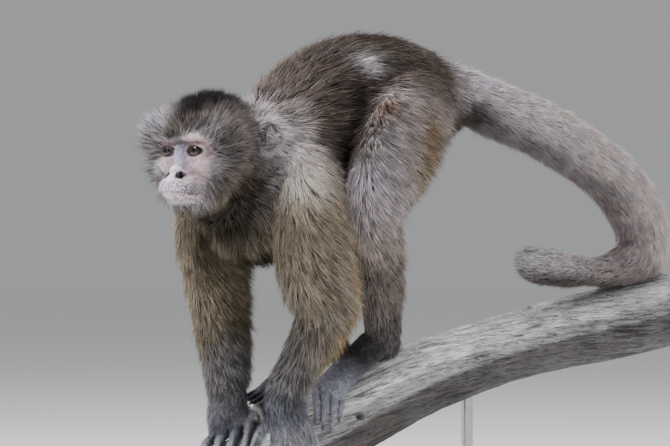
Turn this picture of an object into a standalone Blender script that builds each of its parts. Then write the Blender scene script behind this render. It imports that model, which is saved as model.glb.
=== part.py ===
"""A life-size capuchin monkey walking down a cut length of branch on a plain display stand.

The monkey faces -Y, its left side is +X, and the origin is the centre of the base's underside.
Flesh is modelled to the outside of its coat. Each mass (head, torso, arm, leg) is a set of
overlapping lofts and ellipsoids, fused by a voxel remesh, thinned, then parted at the joints.
"""

import math

import bmesh
import bpy
from mathutils import Matrix, Vector

MM = 0.001
GAP = 0.3 * MM  # clearance between neighbouring solids
LOOSE_GAP = 0.8 * MM  # the same, where a thinned surface may stray a little
RING_SIDES = 20  # sides of a lofted section
RINGS_PER_SPAN = 6  # rings between two stations of a loft

# Perch and stand
BASE_SIZE = (190, 400, 16)
BASE_CORNER = 24
BASE_EDGE = 2.5
ROD_RADIUS = 5
ROD_FRONT_Y = -128
ROD_REAR_Y = 112
BRANCH_LINE = (  # centre line from the low front end to the high rear end, with radius
    ((-1, -208, 68), 31),
    ((1, -133, 96), 33),
    ((0, -60, 125), 34),
    ((0, 33, 163), 34),
    ((1, 92, 179), 32),
    ((0, 151, 192), 30),
    ((-1, 225, 205), 32),
    ((0, 290, 214), 33.5),
    ((0, 353, 226), 36),
)
STUB_LINE = (((-6, -8, 140), 15), ((-25, -54, 146), 13.5), ((-35, -97, 141), 11.5))

# Torso stations: centre, half width across, half depth from back to belly
TRUNK = (
    ((5, 110, 417), 20, 20),
    ((3, 92, 416), 28, 26),
    ((-2, 60, 415), 41, 45),
    ((-10, 15, 418), 46, 54),
    ((-14, -26, 409), 48, 58),
    ((-12, -62, 388), 50, 60),
    ((-6, -98, 357), 49, 56),
    ((0, -124, 322), 43, 46),
    ((0, -132, 300), 36, 37),
    ((-2, -128, 284), 25, 24),
    ((-3, -124, 272), 9, 9),
)
NECK = (
    ((-8, -96, 370), 42, 42),
    ((-3, -126, 368), 41, 40),
    ((2, -156, 363), 40, 39),
    ((4, -174, 360), 38, 38),
)
THROAT = ((-4, -158, 332), (33, 29, 36))
TAIL = (
    ((3, 72, 424), 24),
    ((4, 95, 421), 23.5),
    ((5, 138, 406), 26.5),
    ((5, 187, 392), 27.5),
    ((4, 235, 373), 27.5),
    ((3, 268, 357), 27.5),
    ((2, 294, 340), 27.5),
    ((1, 313, 321), 27.5),
    ((0, 323, 303), 26),
    ((1, 325, 288), 25),
    ((3, 318, 275), 23.5),
    ((6, 302, 267), 21.5),
    ((9, 280, 262), 18),
    ((12, 253, 261), 15.5),
    ((16, 222, 263), 18),
    ((20, 187, 267), 19.5),
    ((23, 168, 270), 17),
    ((24, 156, 271), 11),
)

# Head: its centre, and the turn of the face from -Y towards the left side
HEAD_CENTRE = (6.6, -190.7, 366)
HEAD_TURN = math.radians(13)
EYE_RADIUS = 8.6
EYE_PLACE = (14, 19.8, -1.8)  # across, forward, up in the head's own frame
EAR_PLACE = (43, -37, 10)


def vec(place):
    """A place given in millimetres, as a vector in metres."""
    return Vector(place) * MM


# ---------------------------------------------------------------- scene and materials


def clear_scene():
    for obj in list(bpy.data.objects):
        bpy.data.objects.remove(obj)


def new_collection(name):
    collection = bpy.data.collections.new(name)
    bpy.context.scene.collection.children.link(collection)
    return collection


def new_material(name, colour, roughness, metallic=0.0):
    material = bpy.data.materials.new(name)
    material.use_nodes = True
    shader = material.node_tree.nodes["Principled BSDF"]
    shader.inputs["Base Color"].default_value = (*colour, 1)
    shader.inputs["Roughness"].default_value = roughness
    shader.inputs["Metallic"].default_value = metallic
    return material


def show(name, mesh, material, collection):
    """The finished piece: one object of that name in the model's collection."""
    mesh.materials.clear()
    mesh.materials.append(material)
    mesh.shade_smooth()
    mesh.set_sharp_from_angle(angle=math.radians(40))
    obj = bpy.data.objects.new(name, mesh)
    collection.objects.link(obj)
    return obj


# ---------------------------------------------------------------- shape helpers


def spline(values, t):
    """Catmull-Rom through a list of equally spaced values, at parameter t."""
    last = len(values) - 1
    i = min(int(t), last - 1)
    u = t - i
    before, a, b, after = (values[min(max(k, 0), last)] for k in (i - 1, i, i + 1, i + 2))
    return (
        a * 2
        + (b - before) * u
        + (before * 2 - a * 5 + b * 4 - after) * u**2
        + (a * 3 - before - b * 3 + after) * u**3
    ) * 0.5


def loft(stations, across=(1, 0, 0), sides=RING_SIDES, per_span=RINGS_PER_SPAN):
    """A closed mesh through elliptical sections. A station is (centre, half width, half depth),
    or (centre, radius). The half width lies along `across`, squared up to the path."""
    centres = [vec(station[0]) for station in stations]
    widths = [station[1] * MM for station in stations]
    depths = [station[-1] * MM for station in stations]
    count = (len(stations) - 1) * per_span
    bm = bmesh.new()
    rings = []
    for k in range(count + 1):
        t = k / per_span
        centre = spline(centres, t)
        ahead = spline(centres, min(t + 0.05, len(stations) - 1))
        behind = spline(centres, max(t - 0.05, 0))
        along = (ahead - behind).normalized()
        side = Vector(across)
        side = (side - along * side.dot(along)).normalized()
        front = along.cross(side)
        place = Matrix((side * spline(widths, t), front * spline(depths, t), along)).transposed()
        place = Matrix.Translation(centre) @ place.to_4x4()
        ends = k in (0, count)
        made = bmesh.ops.create_circle(bm, cap_ends=ends, segments=sides, radius=1, matrix=place)
        rings.append(made["verts"])
    for lower, upper in zip(rings, rings[1:]):
        for i in range(sides):
            j = (i + 1) % sides
            bm.faces.new((lower[i], lower[j], upper[j], upper[i]))
    bmesh.ops.recalc_face_normals(bm, faces=bm.faces)
    return finish(bm)


def ellipsoid(centre, half_sizes, frame=None, segments=28):
    """An ellipsoid. With a frame, centre and sizes are along that frame's own axes."""
    frame = frame or Matrix.Identity(4)
    bm = bmesh.new()
    place = frame @ Matrix.Translation(vec(centre)) @ Matrix.Diagonal((*vec(half_sizes), 1))
    bmesh.ops.create_uvsphere(
        bm, u_segments=segments, v_segments=segments // 2, radius=1, matrix=place
    )
    bmesh.ops.recalc_face_normals(bm, faces=bm.faces)
    return finish(bm)


def finish(bm):
    mesh = bpy.data.meshes.new("shape")
    bm.to_mesh(mesh)
    bm.free()
    return mesh


def evaluated(mesh, *modifiers):
    """The mesh after modifiers, each given as (type, settings), with nothing left in the scene."""
    obj = bpy.data.objects.new("working", mesh)
    bpy.context.scene.collection.objects.link(obj)
    for kind, settings in modifiers:
        modifier = obj.modifiers.new(kind, kind)
        for key, value in settings.items():
            setattr(modifier, key, value)
    graph = bpy.context.evaluated_depsgraph_get()
    made = bpy.data.meshes.new_from_object(obj.evaluated_get(graph))
    bpy.data.objects.remove(obj)
    return made


def joined(meshes):
    bm = bmesh.new()
    for mesh in meshes:
        bm.from_mesh(mesh)
    return finish(bm)


def fused(meshes, voxel, smoothing, triangles):
    """Overlapping shapes made one soft skin of about that many triangles."""
    remesh = ("REMESH", {"mode": "VOXEL", "voxel_size": voxel * MM})
    smooth = ("SMOOTH", {"factor": 0.5, "iterations": smoothing})
    return thinned(largest_piece(evaluated(joined(meshes), remesh, smooth)), triangles)


def thinned(mesh, triangles):
    """The mesh brought down to about that many triangles."""
    count = sum(len(face.vertices) - 2 for face in mesh.polygons)
    if count <= triangles:
        return mesh
    return evaluated(mesh, ("DECIMATE", {"ratio": triangles / count}))


def largest_piece(mesh):
    """The mesh with every island but its largest removed."""
    bm = bmesh.new()
    bm.from_mesh(mesh)
    left = set(bm.verts)
    islands = []
    while left:
        island, edge = set(), [left.pop()]
        while edge:
            vert = edge.pop()
            island.add(vert)
            near = {e.other_vert(vert) for e in vert.link_edges} & left
            left -= near
            edge.extend(near)
        islands.append(island)
    islands.sort(key=len)
    for island in islands[:-1]:
        bmesh.ops.delete(bm, geom=list(island), context="VERTS")
    return finish(bm)


def carved(mesh, *cutters, clearance=GAP):
    """The mesh less each cutter, and a clearance all round."""
    for cutter in cutters:
        grown = evaluated(cutter, ("DISPLACE", {"strength": clearance, "mid_level": 0}))
        tool = bpy.data.objects.new("cutter", grown)
        bpy.context.scene.collection.objects.link(tool)
        cut = ("BOOLEAN", {"operation": "DIFFERENCE", "solver": "EXACT", "object": tool})
        mesh = largest_piece(evaluated(mesh, cut))
        bpy.data.objects.remove(tool)
    return mesh


def beyond(mesh, point, normal):
    """The part of a closed mesh on the side its plane's normal points to, closed at the plane."""
    normal = Vector(normal).normalized()
    bm = bmesh.new()
    bm.from_mesh(mesh)
    bmesh.ops.bisect_plane(
        bm,
        geom=[*bm.verts, *bm.edges, *bm.faces],
        plane_co=vec(point) + normal * GAP / 2,
        plane_no=normal,
        clear_inner=True,
    )
    rim = [edge for edge in bm.edges if edge.is_boundary]
    bmesh.ops.holes_fill(bm, edges=rim, sides=0)
    bmesh.ops.triangulate(bm, faces=bm.faces, quad_method="BEAUTY", ngon_method="BEAUTY")
    bmesh.ops.recalc_face_normals(bm, faces=bm.faces)
    return finish(bm)


def parted(mesh, point, normal):
    """The two parts of a mesh, before and beyond a thin cut."""
    return beyond(mesh, point, -Vector(normal)), beyond(mesh, point, normal)


# ---------------------------------------------------------------- head


def head_frame():
    """Axes of the head: X across to its left, Y forward out of the face, Z up."""
    turn = Matrix.Rotation(HEAD_TURN + math.pi, 4, "Z")
    flip = Matrix.Scale(-1, 4, (1, 0, 0))
    return Matrix.Translation(vec(HEAD_CENTRE)) @ turn @ flip


def mirrored_pair(centre, half_sizes, frame):
    x, y, z = centre
    return [ellipsoid((side * x, y, z), half_sizes, frame) for side in (1, -1)]


def head_shapes():
    frame = head_frame()
    shapes = [
        ellipsoid((0, -18, 4), (42, 44, 39), frame),  # brain case
        ellipsoid((0, -24, 20), (33, 32, 28), frame),  # raised hair of the cap
        ellipsoid((0, 12, 10), (50, 17, 32.5), frame),  # broad hair of brow and temples
        ellipsoid((0, -2, 8), (48, 20, 33), frame),  # hair behind the temples
        ellipsoid((0, 4, -14), (40, 22, 27), frame),  # face under the eyes
        ellipsoid((0, 20, 11), (24, 10, 7.5), frame),  # brow ridge
        ellipsoid((0, 12, -32), (25, 22, 17), frame),  # jaws
        ellipsoid((0, 25, -31), (18.5, 19.5, 13.5), frame),  # muzzle
        ellipsoid((0, 23, -41), (14, 13, 8), frame),  # chin
        ellipsoid((0, 25, -8), (5.6, 8.5, 13), frame),  # bridge of the nose
        ellipsoid((0, 31, -18.5), (6.4, 6.5, 5.8), frame),  # tip of the nose
    ]
    shapes += mirrored_pair((26, 10, -9), (18, 14, 19), frame)  # cheek hair
    shapes += mirrored_pair((24, 2, -14), (21, 20, 24), frame)  # hair of the jaw's angle
    shapes += mirrored_pair((14, 18, -12), (10, 9.5, 8), frame)  # cheek bones
    shapes += mirrored_pair((5.6, 30, -21.5), (4.6, 5.6, 4.8), frame)  # nostril wings
    return shapes


def eye(side):
    across, forward, up = EYE_PLACE
    return ellipsoid((side * across, forward, up), (EYE_RADIUS,) * 3, head_frame(), 14)


def ear(side):
    """A thin cupped shell that leans back from the side of the head."""
    across, forward, up = EAR_PLACE
    lean = Matrix.Rotation(math.radians(-32 * side), 4, "Z")
    place = head_frame() @ Matrix.Translation(vec((side * across, forward, up))) @ lean
    outer = ellipsoid((0, 0, 0), (12, 5.5, 14), place, 18)
    hollow = ellipsoid((3 * side, 4.5, 1), (9, 5.5, 10.5), place, 18)
    return carved(outer, hollow)


# ---------------------------------------------------------------- limbs


def digits(knuckles, middles, tips, radius, reaches):
    """Four digits side by side, between a first and a last one. The first three arguments give
    the first and last digit's place, and `reaches` how far each goes from its knuckle."""
    made = []
    for i, reach in enumerate(reaches):
        share = i / (len(reaches) - 1)
        root, middle, tip = (
            Vector(pair[0]).lerp(Vector(pair[1]), share) for pair in (knuckles, middles, tips)
        )
        middle = root.lerp(middle, reach)
        tip = root.lerp(tip, reach)
        back = root + (root - middle) * 0.5
        made.append(
            loft(
                ((back, radius * 0.9), (root, radius), (middle, radius * 0.96), (tip, radius * 0.7)),
                across=(0, 1, 0.2),
                sides=12,
                per_span=4,
            )
        )
        made.append(ellipsoid(tip, (radius * 0.85,) * 3, None, 12))
    return made


def thumb(root, middle, tip, radius):
    line = loft(((root, radius), (middle, radius), (tip, radius * 0.75)), (0, 1, 0.3), 12, 4)
    return [line, ellipsoid(tip, (radius * 0.88,) * 3, None, 12)]


LIMBS = {
    "arm_left": {
        "names": ("upper_arm_left", "forearm_left", "hand_left"),
        "line": (
            ((22, -96, 362), 26, 28),
            ((38, -103, 334), 29, 33),
            ((45, -107, 300), 29, 35),
            ((51, -107, 266), 28, 34),
            ((55, -101, 238), 24, 31),
            ((52, -104, 217), 19, 25),
            ((46, -114, 194), 17, 19),
            ((40, -124, 171), 15.5, 18),
            ((38, -127, 155), 14, 19),
        ),
        "cuts": (((55, -100, 238), (-0.1, -0.25, -0.96)), ((39, -126, 160), (-0.05, -0.05, -1))),
        "palm": (
            ((38, -127, 158), 10, 18),
            ((39, -125, 143), 10, 20),
            ((41, -121, 127), 9, 21),
            ((43, -120, 118), 7, 19.5),
            ((44, -120, 109), 4.5, 19),
        ),
        "knuckles": ((43, -139, 122), (43, -101, 124)),
        "middles": ((46, -141, 100), (46, -98, 102)),
        "tips": ((34, -140, 74), (35, -98, 76)),
        "reaches": (0.9, 1.0, 0.98, 0.85),
        "thumb": ((37, -138, 146), (37, -151, 131), (33, -158, 113)),
        "digit": 4.9,
    },
    "arm_right": {
        "names": ("upper_arm_right", "forearm_right", "hand_right"),
        "line": (
            ((-24, -122, 352), 24, 26),
            ((-38, -142, 328), 26, 29),
            ((-45, -144, 300), 26, 31),
            ((-50, -134, 268), 25, 30),
            ((-52, -128, 240), 23, 28),
            ((-50, -126, 214), 20, 25),
            ((-43, -127, 188), 18, 22),
            ((-37, -129, 168), 16, 19),
            ((-32, -132, 152), 16, 15),
        ),
        "cuts": (((-53, -131, 240), (0.1, 0.05, -1)), ((-34, -134, 158), (0.2, -0.1, -1))),
        "palm": (
            ((-32, -132, 156), 16, 13),
            ((-26, -137, 147), 18, 11),
            ((-19, -141, 138), 19, 10),
            ((-14, -144, 133), 19, 8),
            ((-9, -148, 129), 17, 4.5),
        ),
        "across": (0.8, 0.5, 0.3),
        "knuckles": ((1, -133, 138), (-27, -153, 121)),
        "middles": ((16, -147, 130), (-13, -170, 120)),
        "tips": ((26, -159, 113), (4, -186, 114)),
        "reaches": (0.9, 1.0, 0.98, 0.85),
        "thumb": ((-16, -128, 147), (-4, -126, 143), (6, -131, 139)),
        "digit": 4.7,
    },
    "leg_left": {
        "names": ("thigh_left", "shin_left", "foot_left"),
        "line": (
            ((12, 36, 424), 26, 30),
            ((26, 22, 408), 30, 36),
            ((42, -8, 379), 30, 38),
            ((57, -38, 350), 26, 34),
            ((63, -53, 328), 23, 28),
            ((58, -48, 302), 21, 27),
            ((50, -35, 274), 20, 25),
            ((41, -24, 246), 17, 22),
            ((34, -16, 222), 14, 19),
            ((28, -8, 207), 14, 17),
        ),
        "cuts": (((62, -52, 328), (-0.1, 0.2, -1)), ((33, -15, 218), (-0.2, -0.15, -1))),
        "palm": (
            ((22, 6, 199), 12, 11),
            ((26, -14, 202), 14, 14),
            ((28, -36, 190), 14, 12.5),
            ((29, -56, 176), 15, 10),
            ((29, -70, 166), 15, 8),
            ((33, -74, 158), 13, 4.5),
        ),
        "across": (0.75, 0.6, 0.1),
        "knuckles": ((34, -60, 169), (21, -80, 165)),
        "middles": ((38, -63, 152), (32, -88, 153)),
        "tips": ((39, -68, 129), (36, -91, 135)),
        "reaches": (0.72, 1.0, 1.0, 0.85),
        "thumb": ((15, -40, 181), (2, -52, 173), (-8, -57, 166)),
        "digit": 3.5,
    },
    "leg_right": {
        "names": ("thigh_right", "shin_right", "foot_right"),
        "line": (
            ((-20, 44, 420), 26, 30),
            ((-34, 30, 404), 29, 36),
            ((-47, 2, 376), 29, 37),
            ((-58, -26, 349), 26, 33),
            ((-60, -42, 328), 23, 28),
            ((-56, -42, 300), 21, 25),
            ((-48, -36, 270), 19, 23),
            ((-40, -31, 242), 17, 20),
            ((-34, -27, 214), 14, 17),
            ((-31, -24, 201), 14, 16),
        ),
        "cuts": (((-60, -42, 327), (0.1, 0.15, -1)), ((-34, -27, 212), (0.1, -0.2, -1))),
        "palm": (
            ((-27, -6, 194), 12, 12),
            ((-31, -26, 196), 14, 14),
            ((-33, -48, 182), 14, 12),
            ((-35, -66, 170), 14, 10.5),
            ((-35, -78, 164), 14, 10),
            ((-35, -86, 161), 13.5, 7),
        ),
        "across": (1, 0, 0),
        "knuckles": ((-23, -79, 162), (-46, -75, 163)),
        "middles": ((-20, -94, 157), (-49, -89, 160)),
        "tips": ((-21, -107, 150), (-53, -101, 155)),
        "reaches": (0.95, 1.0, 0.95, 0.85),
        "thumb": ((-21, -46, 176), (-8, -60, 171), (4, -70, 165)),
        "digit": 4.0,
    },
}


def limb(plan, obstacles):
    """Upper limb, lower limb and hand or foot, parted at the two lower joints."""
    shapes = [loft(plan["line"]), loft(plan["palm"], plan.get("across", (1, 0, 0)), 16)]
    places = (plan["knuckles"], plan["middles"], plan["tips"])
    shapes += digits(*places, plan["digit"], plan["reaches"])
    shapes += thumb(*plan["thumb"], plan["digit"])
    whole = carved(fused(shapes, 1.5, 3, 3200), *obstacles, clearance=LOOSE_GAP)
    upper, rest = parted(whole, *plan["cuts"][0])
    lower, end = parted(rest, *plan["cuts"][1])
    return thinned(upper, 310), thinned(lower, 220), thinned(end, 560)


# ---------------------------------------------------------------- perch and stand


def branch():
    """A weathered branch, cut square at both ends, with one short side stub."""
    main = loft(BRANCH_LINE, sides=16, per_span=2)
    stub = bpy.data.objects.new("stub", loft(STUB_LINE, sides=10, per_span=2))
    bpy.context.scene.collection.objects.link(stub)
    union = ("BOOLEAN", {"operation": "UNION", "solver": "EXACT", "object": stub})
    whole = evaluated(main, union)
    bpy.data.objects.remove(stub)
    return whole


def branch_height(y):
    """Height of the branch's centre line at a distance along the base."""
    places = [place for place, _ in BRANCH_LINE]
    for (_, y0, z0), (_, y1, z1) in zip(places, places[1:]):
        if y0 <= y <= y1:
            return z0 + (z1 - z0) * (y - y0) / (y1 - y0)
    raise ValueError("no branch at that place")


def rod(y, perch):
    """A round rod from the base up to the branch, cut to the branch's underside."""
    top = branch_height(y)
    foot = BASE_SIZE[2] + GAP / MM
    bm = bmesh.new()
    bmesh.ops.create_cone(
        bm,
        cap_ends=True,
        segments=24,
        radius1=ROD_RADIUS * MM,
        radius2=ROD_RADIUS * MM,
        depth=(top - foot) * MM,
        matrix=Matrix.Translation(vec((0, y, (top + foot) / 2))),
    )
    return carved(finish(bm), perch)


def base():
    """A flat rectangular plinth with round corners and a softened edge."""
    wide, long, thick = BASE_SIZE
    bm = bmesh.new()
    place = Matrix.Translation(vec((0, 0, thick / 2))) @ Matrix.Diagonal((*vec(BASE_SIZE), 1))
    bmesh.ops.create_cube(bm, size=1, matrix=place)
    upright = [e for e in bm.edges if abs(e.verts[0].co.z - e.verts[1].co.z) > thick * MM / 2]
    bmesh.ops.bevel(
        bm, geom=upright, offset=BASE_CORNER * MM, segments=6, profile=0.5, affect="EDGES"
    )
    rim = [e for e in bm.edges if all(v.co.z > (thick - 0.1) * MM for v in e.verts)]
    bmesh.ops.bevel(bm, geom=rim, offset=BASE_EDGE * MM, segments=2, profile=0.5, affect="EDGES")
    return finish(bm)


# ---------------------------------------------------------------- the model

HEAD_CUT = ((0, -132, 412), (0, -0.925, 0.381))
NECK_CUT = ((0, -106, 432), (0, -0.96, 0.28))
TAIL_CUTS = (
    ((4, 106, 418), (0, 0.94, -0.34)),
    ((5, 165, 398), (0, 0.95, -0.31)),
    ((4, 238, 371), (0, 0.85, -0.52)),
    ((1, 326, 292), (0, -0.1, -0.99)),
)


def build():
    clear_scene()
    model = new_collection("capuchin_monkey")
    fur = new_material("fur_brown", (0.13, 0.09, 0.065), 0.85)
    crown = new_material("fur_head", (0.22, 0.18, 0.15), 0.85)
    skin = new_material("skin_dark", (0.10, 0.085, 0.085), 0.7)
    eyeball = new_material("eye_brown", (0.05, 0.03, 0.015), 0.1)
    wood = new_material("weathered_wood", (0.33, 0.29, 0.25), 0.85)
    plinth = new_material("plinth_wood", (0.12, 0.07, 0.04), 0.5)
    steel = new_material("steel", (0.55, 0.55, 0.56), 0.3, 1.0)

    perch = branch()
    show("perch_branch", perch, wood, model)
    show("stand_base", base(), plinth, model)
    show("stand_rod_front", rod(ROD_FRONT_Y, perch), steel, model)
    show("stand_rod_rear", rod(ROD_REAR_Y, perch), steel, model)

    trunk_shapes = [loft(TRUNK), loft(NECK), ellipsoid(*THROAT)]
    tail_shapes = [loft(TAIL)]
    eyes = {"eye_left": eye(1), "eye_right": eye(-1)}
    whole_head = fused(head_shapes() + trunk_shapes, 2.0, 6, 5000)
    head = carved(thinned(beyond(whole_head, *HEAD_CUT), 1400), *eyes.values())
    show("head", head, crown, model)
    for name, mesh in eyes.items():
        show(name, mesh, eyeball, model)

    torso = fused(head_shapes() + trunk_shapes + tail_shapes, 3.2, 4, 2300)
    torso = carved(torso, perch, clearance=LOOSE_GAP)
    body, _ = parted(torso, *HEAD_CUT)
    trunk, neck = parted(body, *NECK_CUT)
    trunk, tail = parted(trunk, *TAIL_CUTS[0])
    neck, trunk = thinned(neck, 300), thinned(trunk, 800)
    show("neck", neck, fur, model)
    for name, side in (("ear_left", 1), ("ear_right", -1)):
        shell = carved(ear(side), head, neck, trunk, clearance=LOOSE_GAP)
        show(name, thinned(shell, 180), skin, model)
    show("trunk", trunk, fur, model)
    first, tail = parted(tail, *TAIL_CUTS[1])
    third, fourth = parted(tail, *TAIL_CUTS[3])
    second, third = parted(third, *TAIL_CUTS[2])
    fourth = carved(thinned(fourth, 240), perch)
    for number, mesh in enumerate((first, second, third, fourth), 1):
        show(f"tail_{number}", thinned(mesh, 260), fur, model)

    obstacles = [perch, trunk, neck, head]
    for plan in LIMBS.values():
        pieces = limb(plan, obstacles)
        for name, mesh, material in zip(plan["names"], pieces, (fur, fur, skin)):
            show(name, mesh, material, model)
        obstacles.append(joined(pieces))


build()
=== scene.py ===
import math

import bmesh
import bpy
import numpy as np
from mathutils import Matrix, Vector, noise
from mathutils.bvhtree import BVHTree
from mathutils.kdtree import KDTree


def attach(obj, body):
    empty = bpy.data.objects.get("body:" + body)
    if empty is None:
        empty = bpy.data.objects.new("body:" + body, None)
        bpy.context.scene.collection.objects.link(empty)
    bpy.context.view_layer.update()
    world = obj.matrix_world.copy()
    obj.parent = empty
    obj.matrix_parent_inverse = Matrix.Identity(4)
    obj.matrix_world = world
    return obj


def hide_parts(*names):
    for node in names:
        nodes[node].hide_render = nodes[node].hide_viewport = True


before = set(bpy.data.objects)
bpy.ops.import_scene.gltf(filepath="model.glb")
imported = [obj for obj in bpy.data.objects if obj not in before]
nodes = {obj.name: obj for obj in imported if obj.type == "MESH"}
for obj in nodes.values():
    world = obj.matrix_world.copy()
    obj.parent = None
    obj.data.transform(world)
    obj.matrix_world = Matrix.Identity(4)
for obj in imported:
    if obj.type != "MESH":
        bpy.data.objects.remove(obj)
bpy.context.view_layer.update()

mm = 0.001


# small tools


def linear(*shade):  # a colour given as 0 to 255 display values
    s = np.array(shade, float) / 255
    return np.where(s <= 0.04045, s / 12.92, ((s + 0.055) / 1.055) ** 2.4)


def toward(tone, shade, amount):  # the tone at each point, moved towards one shade
    amount = np.reshape(amount, (-1, 1))
    return tone * (1 - amount) + linear(*shade) * amount


def unit(v):
    return v / np.maximum(np.linalg.norm(v, axis=-1, keepdims=True), 1e-9)


def ramp(x, low, high):  # smooth 0 to 1 between two values
    t = np.clip((x - low) / (high - low), 0, 1)
    return t * t * (3 - 2 * t)


def bell(gap, width):  # 1 at no gap, falling away over a width
    return np.exp(-((gap / width) ** 2))


def noiseAt(p, scale, shift=(0, 0, 0)):  # smooth noise at points scaled and shifted first
    return np.array([noise.noise(Vector(q)) for q in p * np.array(scale) + np.array(shift)])


def gapTo(p, a, b):  # how far points are from the straight line between two ends
    a, b = np.array(a), np.array(b)
    t = np.clip((p - a) @ (b - a) / ((b - a) @ (b - a)), 0, 1)
    return np.linalg.norm(p - a - t[:, None] * (b - a), axis=1)


def put(mesh, name):
    thing = bpy.data.objects.new(name, mesh)
    bpy.context.scene.collection.objects.link(thing)
    return thing


def worked(mesh, *steps):  # the mesh after modifiers, each given as (type, settings)
    thing = put(mesh, "working")
    for kind, settings in steps:
        modifier = thing.modifiers.new(kind, kind)
        for key, value in settings.items():
            setattr(modifier, key, value)
    graph = bpy.context.evaluated_depsgraph_get()
    made = bpy.data.meshes.new_from_object(thing.evaluated_get(graph))
    bpy.data.objects.remove(thing)
    return made


def combined(first, second, operation):  # Boolean of two closed meshes
    tool = put(second, "tool")
    step = {"operation": operation, "solver": "MANIFOLD", "object": tool}
    made = worked(first, ("BOOLEAN", step))
    bpy.data.objects.remove(tool)
    return made


def joinedMeshes(meshes):
    bm = bmesh.new()
    for mesh in meshes:
        bm.from_mesh(mesh)
    return fromBm(bm)


def fromBm(bm):
    mesh = bpy.data.meshes.new("shape")
    bm.to_mesh(mesh)
    bm.free()
    return mesh


def fromArrays(points, faces):
    mesh = bpy.data.meshes.new("shape")
    mesh.vertices.add(len(points))
    mesh.vertices.foreach_set("co", np.asarray(points, np.float32).ravel())
    faces = np.asarray(faces, np.int32)
    mesh.loops.add(faces.size)
    mesh.loops.foreach_set("vertex_index", faces.ravel())
    mesh.polygons.add(len(faces))
    starts = np.arange(0, faces.size, faces.shape[1], dtype=np.int32)
    mesh.polygons.foreach_set("loop_start", starts)
    mesh.update(calc_edges=True)
    return mesh


def pointsOf(mesh):
    co = np.empty(len(mesh.vertices) * 3, np.float32)
    mesh.vertices.foreach_get("co", co)
    return co.reshape(-1, 3).astype(float)


def normalsOf(mesh):
    n = np.empty(len(mesh.vertices) * 3, np.float32)
    mesh.vertex_normals.foreach_get("vector", n)
    return n.reshape(-1, 3).astype(float)


def setPoints(mesh, points):
    mesh.vertices.foreach_set("co", np.asarray(points, np.float32).ravel())
    mesh.update()


def paint(mesh, name, colours):  # a colour at each point
    layer = mesh.color_attributes.new(name, "FLOAT_COLOR", "POINT")
    rgba = np.ones((len(colours), 4), np.float32)
    rgba[:, :3] = colours
    layer.data.foreach_set("color", rgba.ravel())


def dress(mesh, material):  # this material alone
    mesh.materials.clear()
    mesh.materials.append(material)
    mesh.polygons.foreach_set("material_index", np.zeros(len(mesh.polygons), np.int32))


def smoothShade(mesh):
    mesh.polygons.foreach_set("use_smooth", np.ones(len(mesh.polygons), bool))
    mesh.update()


def finished(mesh, name, material, slot, *stoodFor):  # a piece of the model, in place
    smoothShade(mesh)
    dress(mesh, material)
    piece = put(mesh, name)
    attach(piece, "root")
    if stoodFor:
        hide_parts(*stoodFor)


def ball(centre, half, place=None, detail=4):  # an ellipsoid, in mm along a frame's own axes
    place = place or Matrix.Identity(4)
    bm = bmesh.new()
    shape = Matrix.Translation(Vector(centre) * mm) @ Matrix.Diagonal((*(Vector(half) * mm), 1))
    bmesh.ops.create_icosphere(bm, subdivisions=detail, radius=1, matrix=place @ shape)
    bmesh.ops.recalc_face_normals(bm, faces=bm.faces)
    return fromBm(bm)


def flipped(place, side):  # a place on its left side, or the same place on its right
    x, y, z = place
    return (side * x, y, z)


def pair(centre, half, place):
    return [ball(flipped(centre, side), half, place) for side in (1, -1)]


# material tools


def newMaterial(name, values):  # a material, its tree and its shader, with the shader's own values
    material = bpy.data.materials.new(name)
    material.use_nodes = True
    tree = material.node_tree
    shader = tree.nodes["Principled BSDF"]
    for key, value in values.items():
        shader.inputs[key].default_value = value
    return material, tree, shader


def socketShade(shade):  # a colour as a shader's socket takes it
    return (*linear(*shade), 1)


def node(tree, kind, **settings):
    made = tree.nodes.new(kind)
    for key, value in settings.items():
        if key in made.inputs:
            made.inputs[key].default_value = value
        else:
            setattr(made, key, value)
    return made


def feed(tree, made, sockets, values):  # a link or a plain value into each socket
    for socket, value in zip(sockets, values):
        if isinstance(value, bpy.types.NodeSocket):
            tree.links.new(value, made.inputs[socket])
        else:
            made.inputs[socket].default_value = value


def mixed(tree, factor, first, second, mode="MIX"):
    made = node(tree, "ShaderNodeMix", data_type="RGBA", blend_type=mode)
    feed(tree, made, (0, 6, 7), (factor, first, second))
    return made.outputs[2]


def multiplied(tree, tone, *others):
    for other in others:
        tone = mixed(tree, 1.0, tone, other, "MULTIPLY")
    return tone


def maths(tree, operation, *values):
    made = node(tree, "ShaderNodeMath", operation=operation)
    feed(tree, made, (0, 1), values)
    return made.outputs[0]


def spread(tree, *values):  # a value, the two limits it comes between, and the two it goes to
    made = node(tree, "ShaderNodeMapRange")
    feed(tree, made, ("Value", "From Min", "From Max", "To Min", "To Max"), values)
    return made.outputs["Result"]


def rawNoise(tree, vector, scale, detail):
    made = node(tree, "ShaderNodeTexNoise", Scale=scale, Detail=detail)
    tree.links.new(vector, made.inputs["Vector"])
    return made.outputs["Fac"]


def noiseOf(tree, vector, scale, detail=3.0, low=0.0, high=1.0):  # noise spread over low to high
    return spread(tree, rawNoise(tree, vector, scale, detail), 0.3, 0.7, low, high)


def placeOn(tree):
    return node(tree, "ShaderNodeTexCoord").outputs["Object"]


def painted(tree, layer="shade"):  # the colour given at each point
    return node(tree, "ShaderNodeVertexColor", layer_name=layer).outputs["Color"]


def bumped(tree, shader, height, distance, strength=1.0):
    bump = node(tree, "ShaderNodeBump", Strength=strength, Distance=distance)
    tree.links.new(height, bump.inputs["Height"])
    tree.links.new(bump.outputs["Normal"], shader.inputs["Normal"])


# camera, floor and light

view = {"azimuth": 50, "distance": 3.183, "aim": (0, -0.040, 0.305), "lens": 200}


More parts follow.
